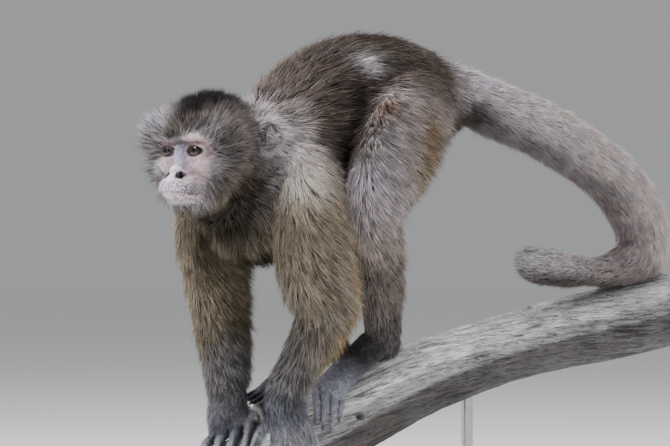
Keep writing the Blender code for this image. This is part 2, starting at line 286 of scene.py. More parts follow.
def makeCamera():
    turn = math.radians(view["azimuth"])
    away = Vector((math.sin(turn), -math.cos(turn), 0))
    camera = bpy.data.cameras.new("camera")
    camera.lens = view["lens"]
    camera.sensor_width = 36
    camera.clip_end = 100
    thing = bpy.data.objects.new("camera", camera)
    bpy.context.scene.collection.objects.link(thing)
    thing.location = Vector(view["aim"]) + away * view["distance"]
    thing.rotation_euler = (-away).to_track_quat("-Z", "Y").to_euler()
    bpy.context.scene.camera = thing


studio = {
    "floor": (0.86, 0.86, 0.85), "glow": 0.04,
    "sky": (0.86, 0.87, 0.89),
    "skyStrength": 0.42,
    "lights": (  # name, direction from the model, distance, size, watts, colour
        ("key", (-0.35, -0.75, 1.5), 2.2, 1.5, 70, (1.0, 0.985, 0.96)),
        ("top", (0.2, 0.5, 1.6), 2.4, 1.8, 78, (0.98, 0.99, 1.0)),
        ("front", (0.115, -1.463, 0.992), 1.77, 0.4, 12, (1.0, 0.985, 0.96)),
    ),
}


def makeStudio():
    bm = bmesh.new()
    bmesh.ops.create_circle(bm, cap_ends=True, segments=96, radius=14)
    floor = put(fromBm(bm), "floor")
    surface = {
        "Base Color": (*studio["floor"], 1), "Roughness": 1.0,
        "Emission Color": (*studio["sky"], 1), "Emission Strength": studio["glow"],
    }
    floor.data.materials.append(newMaterial("floorPaint", surface)[0])
    world = bpy.data.worlds.new("studio")
    bpy.context.scene.world = world
    world.use_nodes = True
    background = world.node_tree.nodes["Background"]
    background.inputs[0].default_value = (*studio["sky"], 1)
    background.inputs[1].default_value = studio["skyStrength"]
    for name, towards, distance, size, watts, colour in studio["lights"]:
        light = bpy.data.lights.new(name, "AREA")
        light.energy, light.size, light.color = watts, size, colour
        lamp = bpy.data.objects.new(name, light)
        bpy.context.scene.collection.objects.link(lamp)
        direction = Vector(towards).normalized()
        lamp.location = Vector(view["aim"]) + direction * distance
        lamp.rotation_euler = direction.to_track_quat("Z", "Y").to_euler()


makeCamera()
makeStudio()
print("stage: camera and studio")


# the head's own frame: across to its left, forward out of the face, up

head = {
    "centre": (6.6, -190.7, 366), "turn": 13,
    "eye": (14, 19.8, -1.8), "eyeRadius": 8.6, "eyeTurn": 9,
}
headTurn = math.radians(head["turn"])
headAxes = np.array([
    (math.cos(headTurn), math.sin(headTurn), 0),
    (math.sin(headTurn), -math.cos(headTurn), 0),
    (0, 0, 1),
])
headPlace = Matrix.Translation(Vector(head["centre"]) * mm) @ Matrix(headAxes.T.tolist()).to_4x4()


def inHead(points):  # metres to the head's own mm
    return (points / mm - np.array(head["centre"])) @ headAxes.T


# How the coat lies: centre lines that run with the hair, each with what it carries along
# itself. A path gives x, y, z and radius in mm. The rest are values from start to end,
# each a list of (share of the length, value). Shades are pairs: dark hairs, pale hairs.

lay = {
    "body": {
        "path": (
            (4, -150, 362, 40), (-3, -126, 366, 42), (-6, -98, 360, 50), (-12, -62, 388, 56),
            (-14, -26, 409, 54), (-10, 15, 418, 50), (-2, 60, 415, 43), (3, 92, 416, 27),
            (5, 138, 406, 26), (5, 187, 392, 27), (4, 235, 373, 27), (2, 294, 340, 27),
            (0, 323, 303, 26), (3, 318, 275, 24), (9, 280, 262, 18), (16, 222, 263, 18),
            (24, 156, 271, 16),
        ),
        "depth": ((0, 9), (0.15, 9), (0.3, 8), (0.36, 5), (0.9, 4.5), (1, 4)),
        "length": ((0, 20), (0.2, 20), (0.35, 18), (0.45, 17), (0.8, 16), (0.93, 14), (1, 15)),
        "lift": ((0, 0.28), (0.2, 0.24), (0.35, 0.2), (0.45, 0.15), (0.7, 0.12), (0.9, 0.1), (1, 0.1)),
        "calm": ((0, 0.3), (0.1, 0), (0.33, 0), (0.38, 1), (1, 1)),
        "outer": (
            (0, (112, 104, 105), (208, 199, 205)),
            (0.06, (78, 69, 66), (164, 152, 150)),
            (0.11, (50, 42, 38), (126, 113, 108)),
            (0.17, (42, 36, 33), (110, 98, 93)),
            (0.26, (56, 49, 46), (128, 116, 110)),
            (0.3, (70, 63, 61), (146, 135, 132)),
            (0.345, (146, 138, 142), (240, 231, 238)),
            (0.4, (164, 154, 160), (252, 243, 249)),
            (0.55, (170, 157, 158), (255, 244, 246)),
            (0.72, (162, 149, 150), (250, 236, 238)),
            (0.8, (126, 115, 116), (217, 205, 206)),
            (0.88, (140, 131, 133), (236, 225, 228)),
            (1, (190, 185, 192), (255, 252, 255)),
        ),
        # under: darker shades on the underside, painted shade where less light falls
        "under": (
            (0, (30, 26, 19), (62, 56, 44)),
            (0.2, (40, 34, 27), (78, 70, 58)),
            (0.38, (50, 44, 38), (92, 86, 78)),
            (0.4, (66, 62, 64), (140, 134, 138)),
            (0.46, (74, 70, 72), (150, 143, 147)),
            (0.6, (86, 79, 80), (166, 157, 159)),
            (0.76, (80, 72, 71), (158, 148, 147)),
            (0.9, (76, 69, 67), (154, 144, 141)),
            (1, (124, 118, 122), (208, 200, 206)),
        ),
    },
    "armLeft": {
        "path": (
            (22, -96, 362, 28), (38, -103, 334, 31), (45, -107, 300, 32), (51, -107, 266, 31),
            (55, -101, 238, 28), (52, -104, 217, 22), (46, -114, 194, 18), (40, -124, 171, 17),
            (38, -127, 155, 17), (42, -120, 120, 20), (44, -119, 100, 22), (34, -119, 74, 22),
        ),
        "depth": ((0, 8), (0.45, 6.5), (0.6, 4.5), (0.72, 2), (0.8, 0.5), (1, -0.2)),
        "length": ((0, 19), (0.35, 19), (0.55, 16), (0.7, 11), (0.8, 7), (0.9, 4.5), (1, 3.2)),
        "lift": ((0, 0.28), (0.5, 0.28), (0.75, 0.24), (1, 0.22)),
        "sweep": ((0, 0.9), (0.25, 1.0), (0.5, 0.75), (0.65, 0.35), (0.75, 0), (1, 0)),
        "outer": (
            (0, (138, 128, 122), (232, 222, 219)),
            (0.14, (92, 82, 71), (190, 175, 155)),
            (0.36, (78, 70, 62), (184, 171, 154)),
            (0.5, (62, 57, 53), (158, 149, 140)),
            (0.63, (78, 76, 76), (178, 174, 174)),
            (0.74, (54, 56, 63), (142, 145, 160)),
            (0.85, (132, 132, 149), (248, 248, 255)),
            (1, (148, 148, 165), (248, 248, 255)),
        ),
        # under: darker shades on the underside and inner side, painted shade where less light falls
        "under": (
            (0, (40, 34, 26), (78, 70, 56)),
            (0.5, (52, 45, 36), (112, 102, 84)),
            (0.75, (44, 43, 44), (90, 90, 95)),
            (1, (52, 54, 62), (100, 102, 114)),
        ),
    },
    "armRight": {
        "path": (
            (-24, -122, 352, 26), (-38, -142, 328, 27), (-45, -144, 300, 28), (-50, -134, 268, 27),
            (-52, -128, 240, 25), (-50, -126, 214, 22), (-43, -127, 188, 20), (-37, -129, 168, 17),
            (-32, -132, 154, 15), (-19, -141, 138, 16), (-13, -144, 131, 18), (8, -165, 114, 20),
        ),
        "like": "armLeft",
    },
    "legLeft": {
        "path": (
            (12, 36, 424, 30), (26, 22, 408, 34), (42, -8, 379, 34), (57, -38, 350, 30),
            (63, -53, 328, 25), (58, -48, 302, 24), (50, -35, 274, 22), (41, -24, 246, 19),
            (34, -16, 222, 16), (26, -12, 203, 15), (28, -40, 187, 14), (30, -70, 165, 15),
            (38, -80, 134, 16),
        ),
        "depth": ((0, 8.5), (0.35, 7.5), (0.55, 5.5), (0.68, 2.5), (0.75, 0.8), (0.88, 0.3), (1, 0.3)),
        "length": ((0, 19), (0.35, 18), (0.55, 14), (0.68, 10), (0.78, 6), (0.88, 3.6), (1, 2.4)),
        "lift": ((0, 0.24), (0.5, 0.22), (0.75, 0.16), (1, 0.14)),
        "sweep": ((0, 1.6), (0.3, 1.5), (0.42, 0.8), (0.6, 0.3), (0.68, 0), (1, 0)),
        "outer": (
            (0, (58, 48, 43), (128, 114, 108)),
            (0.06, (86, 75, 71), (172, 160, 158)),
            (0.16, (104, 94, 93), (200, 190, 192)),
            (0.34, (112, 104, 104), (212, 204, 206)),
            (0.47, (96, 85, 81), (196, 183, 178)),
            (0.6, (74, 66, 62), (168, 157, 152)),
            (0.7, (57, 53, 53), (142, 137, 138)),
            (0.82, (36, 35, 38), (106, 103, 109)),
            (0.9, (124, 124, 139), (236, 236, 254)),
            (1, (138, 137, 151), (238, 238, 250)),
        ),
        # under: darker shades on the underside and inner side, painted shade where less light falls
        "under": (
            (0, (52, 45, 38), (98, 90, 80)),
            (0.4, (62, 54, 46), (120, 110, 98)),
            (0.7, (40, 38, 38), (86, 84, 87)),
            (1, (52, 53, 60), (100, 101, 112)),
        ),
    },
    "legRight": {
        "path": (
            (-20, 44, 420, 30), (-34, 30, 404, 33), (-47, 2, 376, 33), (-58, -26, 349, 29),
            (-60, -42, 328, 25), (-56, -42, 300, 23), (-48, -36, 270, 21), (-40, -31, 242, 19),
            (-34, -27, 214, 16), (-30, -20, 198, 15), (-32, -44, 184, 14), (-34, -76, 168, 15),
            (-37, -104, 158, 16),
        ),
        "like": "legLeft",
    },
}


def spline(values, count):  # Catmull-Rom through rows of values
    last = len(values) - 1
    t = np.linspace(0, last, last * count + 1)
    i = np.minimum(t.astype(int), last - 1)
    u = (t - i)[:, None]
    before, a, b, after = (values[np.clip(i + k, 0, last)] for k in (-1, 0, 1, 2))
    cubic = (2 * a + (b - before) * u + (2 * before - 5 * a + 4 * b - after) * u**2
             + (3 * a - before - 3 * b + after) * u**3)
    return cubic / 2


def prepared(line):
    rows = spline(np.array(line["path"], float), 4)
    steps = np.linalg.norm(np.diff(rows[:, :3], axis=0), axis=1)
    line["rows"] = rows
    line["share"] = np.concatenate([[0], np.cumsum(steps)]) / steps.sum()
    line["heading"] = unit(np.gradient(rows[:, :3], axis=0))


for line in lay.values():
    if "like" in line:
        line.update({**lay[line["like"]], **line})
    prepared(line)


def nearest(points, line):  # for points in mm: distance in radii, share of the length, heading
    rows, share, heading = line["rows"], line["share"], line["heading"]
    best = np.full(len(points), 1e9)
    where = np.zeros(len(points))
    way = np.zeros((len(points), 3))
    for k in range(len(rows) - 1):
        a, b = rows[k], rows[k + 1]
        along = b[:3] - a[:3]
        t = np.clip(((points - a[:3]) @ along) / (along @ along), 0, 1)
        gap = np.linalg.norm(points - a[:3] - t[:, None] * along, axis=1)
        gap /= a[3] + (b[3] - a[3]) * t
        near = gap < best
        best[near] = gap[near]
        where[near] = (share[k] + (share[k + 1] - share[k]) * t)[near]
        way[near] = (heading[k] + (heading[k + 1] - heading[k]) * t[:, None])[near]
    return best, where, unit(way)


def valueAt(share, steps):
    return np.interp(share, [s[0] for s in steps], [s[1] for s in steps])


def shadeAt(share, steps, which):
    table = np.array([linear(*s[which]) for s in steps])
    places = [s[0] for s in steps]
    return np.stack([np.interp(share, places, table[:, c]) for c in range(3)], axis=1)


# soft marks on the coat: place and reach in mm, dark and pale shades, strength

marks = (
    ((30, 22, 438), (26, 44, 18), (58, 51, 47), (132, 119, 112), 0.85),  # dark rump over the thigh
    ((-40, 26, 434), (26, 44, 18), (58, 51, 47), (132, 119, 112), 0.85),
    ((-4, -14, 470), (20, 66, 19), (38, 30, 27), (92, 77, 70), 0.85),  # reddish ridge of the back
    ((17, -30, 440), (28, 24, 12), (84, 78, 77), (168, 160, 160), 0.6),  # greyer hip
    ((22, -29, 438), (16, 12, 8), (150, 147, 158), (255, 252, 255), 0.85),  # its pale patch, partly its own pale hair and partly a painted highlight
    ((38, -47, 410), (18, 15, 22), (28, 24, 20), (64, 57, 49), 0.95),  # dark loin: painted shade where the flank tucks in
    ((42, -52, 372), (15, 20, 36), (27, 22, 18), (72, 62, 54), 0.9),  # painted shade in the crease before the thigh
    ((38, -124, 374), (26, 22, 32), (190, 180, 184), (255, 248, 252), 0.95),  # pale shoulder, partly its own paler hair and partly a painted highlight
    ((42, -86, 384), (20, 20, 34), (54, 46, 41), (122, 108, 100), 0.85),  # flank
    ((-38, -142, 350), (22, 22, 26), (120, 110, 104), (200, 192, 190), 0.6),
    # more of the pale shoulder, partly its own paler hair and partly a painted highlight
    ((55, -124, 352), (18, 18, 21), (232, 217, 208), (255, 249, 242), 1.0),
    ((44, -14, 410), (18, 22, 12), (132, 122, 122), (238, 227, 229), 0.8),  # pale top of the thigh
    ((45, -25, 406), (9, 11, 8), (86, 62, 46), (178, 140, 112), 0.8),  # brown spot on it
    ((66, -60, 338), (16, 18, 20), (128, 120, 128), (228, 219, 230), 0.8),  # pale knee
    ((-64, -46, 330), (18, 20, 24), (118, 110, 114), (206, 199, 206), 0.7),
    ((66, 9, 376), (20, 18, 36), (66, 51, 37), (182, 156, 122), 0.85),  # golden rear of the thigh
    ((-38, 40, 376), (26, 18, 34), (84, 68, 48), (190, 166, 132), 0.8),
    ((60, -76, 262), (16, 14, 36), (90, 76, 58), (206, 182, 148), 0.8),  # golden rear of the elbow
    ((52, -98, 196), (18, 14, 26), (84, 70, 56), (190, 168, 140), 0.6),
    ((55, -88, 224), (13, 12, 34), (92, 75, 54), (216, 190, 152), 0.7),
    ((48, -124, 205), (13, 13, 48), (50, 48, 49), (138, 134, 133), 0.6),  # slate front of the forearm
    ((57, -3, 362), (12, 14, 20), (62, 51, 43), (160, 143, 126), 0.55),  # browner rear of the thigh
    ((52, 3, 334), (16, 13, 28), (72, 57, 42), (184, 160, 128), 0.75),
    ((76, -14, 350), (18, 15, 26), (66, 52, 40), (176, 154, 124), 0.6),
    ((-44, -148, 196), (16, 14, 34), (88, 76, 60), (190, 172, 142), 0.6),  # right forearm's warm edge
    ((-54, -104, 256), (16, 14, 34), (80, 68, 50), (176, 156, 124), 0.7),
    ((-50, -136, 256), (24, 24, 40), (94, 84, 68), (198, 184, 158), 0.8),  # right arm
    ((-36, -132, 180), (22, 24, 34), (82, 79, 82), (186, 182, 188), 0.8),
    ((-12, -146, 132), (26, 24, 16), (52, 53, 61), (140, 142, 157), 0.9),  # right hand, darker than the left as painted shade
    ((30, 190, 278), (11, 34, 7), (176, 171, 178), (255, 252, 255), 0.75),  # pale line along the top of the curl: a painted highlight, partly its paler hair
    ((22, 200, 250), (18, 40, 8), (66, 58, 56), (130, 118, 115), 0.75),  # its underside darkened as painted shade
    ((0, -150, 318), (34, 30, 30), (32, 28, 20), (64, 58, 44), 0.9),  # dark olive chest, deepened as painted shade under the head and arms
)

# shades of the head, in its own frame and the same on both sides: place, reach, dark, pale, strength
headMarks = (
    ((40, -14, 0), (40, 40, 44), (60, 51, 47), (138, 127, 124), 1.0),  # brown sides
    ((38, -8, -12), (16, 22, 13), (78, 72, 69), (172, 164, 160), 0.6),  # greyer cheeks
    ((0, -40, 10), (40, 26, 34), (66, 57, 54), (140, 129, 127), 1.0),  # back of the head
    ((31, -46, 16), (18, 17, 24), (112, 104, 107), (200, 191, 197), 0.75),  # paler towards the nape
    ((34, -10, -30), (26, 30, 20), (62, 54, 44), (136, 126, 114), 0.9),  # jaw
    ((0, 0, -52), (30, 30, 16), (42, 37, 30), (92, 86, 75), 0.9),  # throat, darkened as painted shade under the jaw
    ((11, 19, -47), (16, 15, 9), (74, 68, 60), (146, 138, 126), 0.8),  # grey under the chin
    ((20, 22, 17), (12, 14, 13), (88, 82, 82), (172, 165, 167), 0.5),  # silver forehead
    ((32, 16, 2), (12, 16, 26), (74, 69, 69), (160, 154, 157), 0.5),  # silver temples
    ((0, -6, 44), (36, 40, 27), (3, 3, 3), (9, 8, 8), 1.0),  # dark cap
    ((-2, 18, 30), (16, 16, 14), (8, 7, 7), (28, 26, 25), 0.95),  # its point over the brow
)

farMarks = (  # on its right side only
    ((-24, 20, 13), (13, 16, 15), (92, 90, 96), (196, 194, 205), 0.6),  # silver brow, paler on this side only as painted light
    ((-40, 4, 0), (13, 22, 22), (52, 48, 48), (118, 113, 114), 0.8),  # browner temple
)

headBase = {"dark": (66, 57, 52), "pale": (128, 119, 115)}
faceHair = {
    "dark": (152, 145, 156), "pale": (252, 249, 255),
    "length": (2.4, 1.2), "lift": (0.16, 0.14),  # on the face, and how much more on the muzzle
}


def faceShare(h):  # 1 on the bare face, 0 in the coat, for points in the head's own mm
    side = np.abs(h[:, 0])
    wide = np.where(h[:, 2] > -12, 24, 24 - (-12 - h[:, 2]) * 0.2)
    wide = wide + 4.5 * bell(h[:, 2] + 12, 10)
    inside = ramp(wide - side, -4, 5) * ramp(h[:, 1], 9, 16)
    near = ramp(h[:, 0], -6, 6)
    brow = 6.5 + 1.5 * near + (0.5 + 5.5 * near) * bell(side - 15, 8)
    return inside * ramp(brow - h[:, 2], -3, 3) * ramp(h[:, 2], -48, -43)


ear = {
    "centre": (42.5, -32.5, 11), "lean": 34, "half": (10, 4.5, 12), "hair": 9.5,
    "hollow": ((1.5, 4.2, 0), (8.8, 5.6, 10.8)), "fold": ((2, 0.6, 0), (1.4, 1.8, 6)),
    # rim: partly the ear's own dark edge, partly painted shade
    "skin": (148, 136, 140), "rim": (50, 43, 43),
    "dark": (108, 101, 106), "pale": (222, 214, 221),  # its hairs
}


def mirrored(h):  # both sides of the head laid on its left side
    return np.abs(h) * (1, 0, 0) + h * (0, 1, 1)


def inEar(h):  # mm along an ear: outwards in its plane, towards its open side, up
    lean = math.radians(ear["lean"])
    q = mirrored(h) - np.array(ear["centre"])
    u = q[:, 0] * math.cos(lean) - q[:, 1] * math.sin(lean)
    return np.stack([u, q[:, 0] * math.sin(lean) + q[:, 1] * math.cos(lean), q[:, 2]], axis=1)


def earShare(h):  # 1 on an ear, 0 off it
    q = inEar(h)
    gap = np.sqrt(((q / (np.array(ear["half"]) + (1, 2.4, 1))) ** 2).sum(axis=1))
    return ramp(1.08 - gap, 0, 0.12) * ramp(q[:, 0], -8, -4)


def earRimShadow(h):  # painted shadow round the top and back of an ear, in the gap behind its rim
    q = inEar(h) / np.array(ear["half"])
    ring = np.hypot(q[:, 0], q[:, 2])
    line = ramp(ring, 0.94, 1.04) * ramp(1.42 - ring, 0, 0.14) * ramp(2.2 - np.abs(q[:, 1]), 0, 0.5)
    return line * ramp(q[:, 0] + q[:, 2], 0.1, 0.8)


digitPlaces = {  # first and last digit: knuckles, middles, tips; reaches; thumb; digit radius
    "left_hand": (
        ((43, -139, 122), (43, -101, 124)), ((46, -141, 100), (46, -98, 102)),
        ((34, -140, 74), (35, -98, 76)), (0.9, 1.0, 0.98, 0.85),
        ((37, -138, 146), (37, -151, 131), (33, -158, 113)), 4.9,
    ),
    "right_hand": (
        ((1, -133, 138), (-27, -153, 121)), ((16, -147, 130), (-13, -170, 120)),
        ((26, -159, 113), (4, -186, 114)), (0.9, 1.0, 0.98, 0.85),
        ((-16, -128, 147), (-4, -126, 143), (6, -131, 139)), 4.7,
    ),
    "left_foot": (
        ((34, -60, 169), (21, -80, 165)), ((38, -63, 152), (32, -88, 153)),
        ((39, -68, 129), (36, -91, 135)), (0.72, 1.0, 1.0, 0.85),
        ((15, -40, 181), (2, -52, 173), (-8, -57, 166)), 3.5,
    ),
    "right_foot": (
        ((-23, -79, 162), (-46, -75, 163)), ((-20, -94, 157), (-49, -89, 160)),
        ((-21, -107, 150), (-53, -101, 155)), (0.95, 1.0, 0.95, 0.85),
        ((-21, -46, 176), (-8, -60, 171), (4, -70, 165)), 4.0,
    ),
}


def digitLines(name):  # each digit's knuckle, middle and tip, in mm
    *ends, reaches, _, _ = digitPlaces[name]
    lines = []
    for k, reach in enumerate(reaches):
        knuckle, middle, tip = (Vector(a).lerp(Vector(b), k / 3) for a, b in ends)
        lines.append((knuckle, knuckle.lerp(middle, reach), knuckle.lerp(tip, reach)))
    return lines


def shadeBetweenDigits(p):  # 1 in the painted shade of the gap between two digits
    found = np.zeros(len(p))
    for name in ("left_hand", "right_hand", "left_foot"):
        lines, radius = digitLines(name), digitPlaces[name][-1]
        close = np.linalg.norm(p - np.array(lines[1][1]), axis=1) < 60
        q = p[close]
        gaps = [np.minimum(gapTo(q, *line[:2]), gapTo(q, *line[1:])) for line in lines]
        gaps = np.sort(np.array(gaps), axis=0)
        split = ramp(2.0 - (gaps[1] - gaps[0]), 0, 1.4) * ramp(radius * 2 - gaps[0], 0, radius * 0.5)
        found[close] = np.maximum(found[close], split)
    return found


def soft(points, place, reach):
    return np.exp(-(((points - np.array(place)) / np.array(reach)) ** 2).sum(axis=1) * 1.2)


def headFlow(h):  # the way the head's hair points, in the head's own frame
    out = np.stack([h[:, 0], np.zeros(len(h)), h[:, 2] + 8], axis=1)
    out = unit(out) * ramp(np.linalg.norm(out, axis=1), 0, 12)[:, None]
    back = np.clip((6 - h[:, 1]) / 26, -0.1, 1)[:, None]
    side = np.abs(out[:, :1])
    flow = out * (1 - 0.65 * back) + np.array((0, -1, 0)) * back
    flow[:, 2] -= 0.35 * side[:, 0] * back[:, 0]
    jaw = ramp(-h[:, 2], 26, 46)[:, None]
    flow = flow * (1 - jaw) + np.array((0, -0.5, -0.8)) * jaw + 0.3 * out * jaw
    return unit(flow)


headHair = {  # everywhere, and how much more at the crown, the temples and the right temple
    "length": (13, 3, 6, 9), "lift": (0.27, 0.75, 0.12, 0.45),
}
coatBlend = {  # how the centre lines and the head share a place between them
    "fall": 7, "headPull": 1.6, "headMiddle": (0, -14, 2), "headHalf": (42, 46, 42), "headDepth": 9,
    "calmShoulder": ((46, -124, 362), (30, 28, 46)),
}


def headHairAt(h, key):
    base, atCrown, atTemple, atFar = headHair[key]
    crown = soft(h, (0, -16, 40), (30, 34, 22))
    temple = soft(mirrored(h), (32, 12, 4), (16, 16, 34))
    far = ramp(-h[:, 0], 8, 24)
    return base + (atTemple + atFar * far) * temple + atCrown * crown


def marked(tone, places, table, which, reach, share=1):  # a tone with a table's soft marks on it
    for mark in table:
        amount = np.minimum(soft(places, mark[0], mark[1]) * reach, 1) * mark[4] * share
        tone = toward(tone, mark[which], amount)
    return tone


def alongLine(name, line, p, normals):  # its weight, share, heading, and 1 on the shaded side
    gap, share, way = nearest(p, line)
    weight = np.exp(-coatBlend["fall"] * gap)
    slope = 0.5 * np.abs(normals[:, 0]) * (1 - ramp(share, 0.3, 0.4)) if name == "body" else 0
    way = way - np.array((0, 0, 1)) * np.reshape(slope, (-1, 1))
    if "sweep" in line:
        back = valueAt(share, line["sweep"]) * (1 - 0.7 * ramp(-normals[:, 1], 0, 0.8))
        way = way + np.array((0, 1, 0)) * back[:, None]
    if name == "body":
        under = ramp(-normals[:, 2] - 0.35 * ramp(share, 0.36, 0.44), -0.25, 0.6)
    else:
        side = 1 if "Left" in name else -1
        under = np.maximum(ramp(-normals[:, 2], 0.3, 0.95), ramp(-normals[:, 0] * side, 0.1, 0.8))
    return weight, share, unit(way), under[:, None]


def coatAt(points, normals):  # everything the coat needs at places given in metres
    p = points / mm
    h = inHead(points)
    gap = (h - coatBlend["headMiddle"]) ** 2 / np.array(coatBlend["headHalf"]) ** 2
    headWeight = np.exp(-coatBlend["fall"] * np.sqrt(gap.sum(axis=1))) * coatBlend["headPull"]
    total = headWeight.copy()
    found = {k: np.zeros(len(p)) for k in ("depth", "length", "lift", "hand", "calm")}
    flow = (headFlow(h) @ headAxes) * headWeight[:, None]
    outward = {k: np.zeros((len(p), 3)) for k in ("dark", "pale")}
    for name, line in lay.items():
        weight, share, way, under = alongLine(name, line, p, normals)
        total += weight
        for key in ("depth", "length", "lift"):
            found[key] += weight * valueAt(share, line[key])
        if name == "body":
            found["calm"] += weight * valueAt(share, line["calm"])
        else:
            found["hand"] += weight * ramp(share, 0.7, 0.8)
        flow += way * weight[:, None]
        for key, which in (("dark", 1), ("pale", 2)):
            tone = shadeAt(share, line["outer"], which) * (1 - under)
            tone += shadeAt(share, line["under"], which) * under
            outward[key] += tone * weight[:, None]
    bare, ears, both = faceShare(h), earShare(h), mirrored(h)
    found["depth"] += headWeight * coatBlend["headDepth"]
    found["length"] += headWeight * (headHairAt(h, "length") * (1 - 0.3 * ramp(h[:, 1], 24, 32)))
    found["lift"] += headWeight * headHairAt(h, "lift")
    for key in found:
        found[key] /= total
    onHead = headWeight / total
    line = earRimShadow(h)[:, None]
    gaps = shadeBetweenDigits(p)[:, None]
    for key, which in (("dark", 2), ("pale", 3)):
        tone = marked(np.tile(linear(*headBase[key]), (len(p), 1)), both, headMarks, which, 1.6)
        tone = (outward[key] + tone * headWeight[:, None]) / total[:, None]
        tone = marked(tone, p, marks, which, 1.4)
        tone = marked(tone, h, farMarks, which, 1.3, ramp(onHead, 0.3, 0.7))
        tone = toward(toward(tone, faceHair[key], bare), ear[key], ears)
        # painted shadow behind the ears' rims and in the gaps between digits
        outward[key] = tone * (1 - 0.85 * line) * (1 - 0.75 * gaps)
    found["calm"] = np.maximum(found["calm"], 0.9 * soft(p, *coatBlend["calmShoulder"]))
    for key, value in (("length", ear["hair"]), ("depth", 0), ("lift", 0.25)):
        found[key] = found[key] * (1 - ears) + value * ears
    fringe = ramp(normals[:, 1], 0.2, 0.9) * (1 - onHead) * ramp(found["length"], 8, 14)
    found["length"] *= 1 + 0.3 * fringe
    found["lift"] += 0.12 * fringe
    muzzle = ramp(-h[:, 2], 20, 34)
    for key in ("length", "lift"):
        least, more = faceHair[key]
        found[key] = found[key] * (1 - bare) + (least + more * muzzle) * bare
    return {**found, **outward, "flow": unit(flow), "bare": bare, "ear": ears, "head": onHead, "h": h}


# skin: one closed surface under the coat

skinShape = {
    "bodyVoxel": 1.5, "headVoxel": 0.8, "bodyFaces": 90000,
    "nodes": (
        "neck", "trunk", "tail_1", "tail_2", "tail_3", "tail_4",
        "upper_arm_left", "forearm_left", "hand_left", "upper_arm_right", "forearm_right",
        "hand_right", "thigh_left", "shin_left", "foot_left", "thigh_right", "shin_right",
        "foot_right",
    ),
    "bridge": (((-2, -138, 362), 41), ((2, -158, 358), 39), ((5, -176, 356), 33)),
    "nostril": (6.2, 34.2, -22.8), "nostrilHalf": (3.5, 5.4, 4.7), "mouth": -35.0,
    "lid": 1.2, "opening": (7.4, 3.7, 4.3),  # lids' thickness; half widths across, up and down
    "middle": (  # lumps of the head: centre and half sizes in its own mm
        ((0, -16, 3), (36, 42, 35)),  # brain case
        ((0, 8, 9), (32, 20, 17)),  # brow
        ((0, 4, -12), (31, 22, 22)),  # face
        ((0, 20.5, 9.5), (24, 10, 6.2)),  # brow ridge
        ((0, 10, -31), (24, 22, 15)),  # jaws
        ((0, 24.5, -31), (17.5, 19, 13)),  # muzzle
        ((0, 23, -41), (13, 12.5, 7.5)),  # chin
        ((0, 24, -7), (5.2, 8, 13)),  # bridge of the nose
        ((0, 31, -19), (6.2, 6.5, 6)),  # tip of the nose
    ),
    "sides": (  # the same, one on each side
        ((17, 13, -13), (11.5, 14, 9.5)),  # cheek bones
        ((5.6, 29.5, -22.3), (4.7, 5.6, 5.0)),  # nostril wings
    ),
}


def bodySkin():
    bridge = [ball(place, (r, r, r)) for place, r in skinShape["bridge"]]
    flesh = joinedMeshes([nodes[n].data for n in skinShape["nodes"]] + bridge)
    voxel = skinShape["bodyVoxel"] * mm
    skin = worked(flesh, ("REMESH", {"mode": "VOXEL", "voxel_size": voxel}),
                  ("SMOOTH", {"factor": 0.5, "iterations": 3}))
    p, n = pointsOf(skin), normalsOf(skin)
    depth = coatAt(p, n)["depth"] * mm
    setPoints(skin, p - n * depth[:, None])
    return worked(skin, ("SMOOTH", {"factor": 0.5, "iterations": 4}),
                  ("REMESH", {"mode": "VOXEL", "voxel_size": voxel}),
                  ("SMOOTH", {"factor": 0.5, "iterations": 2}))


def headSkin():
    at = headPlace
    lid = head["eyeRadius"] + skinShape["lid"]
    shapes = [ball(*lump, at) for lump in skinShape["middle"]]
    for lump in ((head["eye"], (lid, lid, lid)), *skinShape["sides"]):
        shapes += pair(*lump, at)
    voxel = {"mode": "VOXEL", "voxel_size": skinShape["headVoxel"] * mm}
    skin = worked(joinedMeshes(shapes), ("REMESH", voxel), ("SMOOTH", {"factor": 0.5, "iterations": 7}))
    p, n = pointsOf(skin), normalsOf(skin)
    setPoints(skin, p + n * (faceFolds(inHead(p)) * mm)[:, None])
    for side in (1, -1):
        skin = combined(skin, earShell(side), "UNION")
    for side in (1, -1):
        skin = combined(skin, eyeOpening(side), "DIFFERENCE")
        place = Matrix.Translation(Vector(flipped(skinShape["nostril"], side)) * mm)
        out = at @ (place @ Matrix.Rotation(-side * 0.7, 4, "Z"))
        skin = combined(skin, ball((0, 0, 0), skinShape["nostrilHalf"], out, 3), "DIFFERENCE")
    return skin


def lipLine(side):  # how high the lips meet, at a distance to the side
    return skinShape["mouth"] - 0.009 * side**2


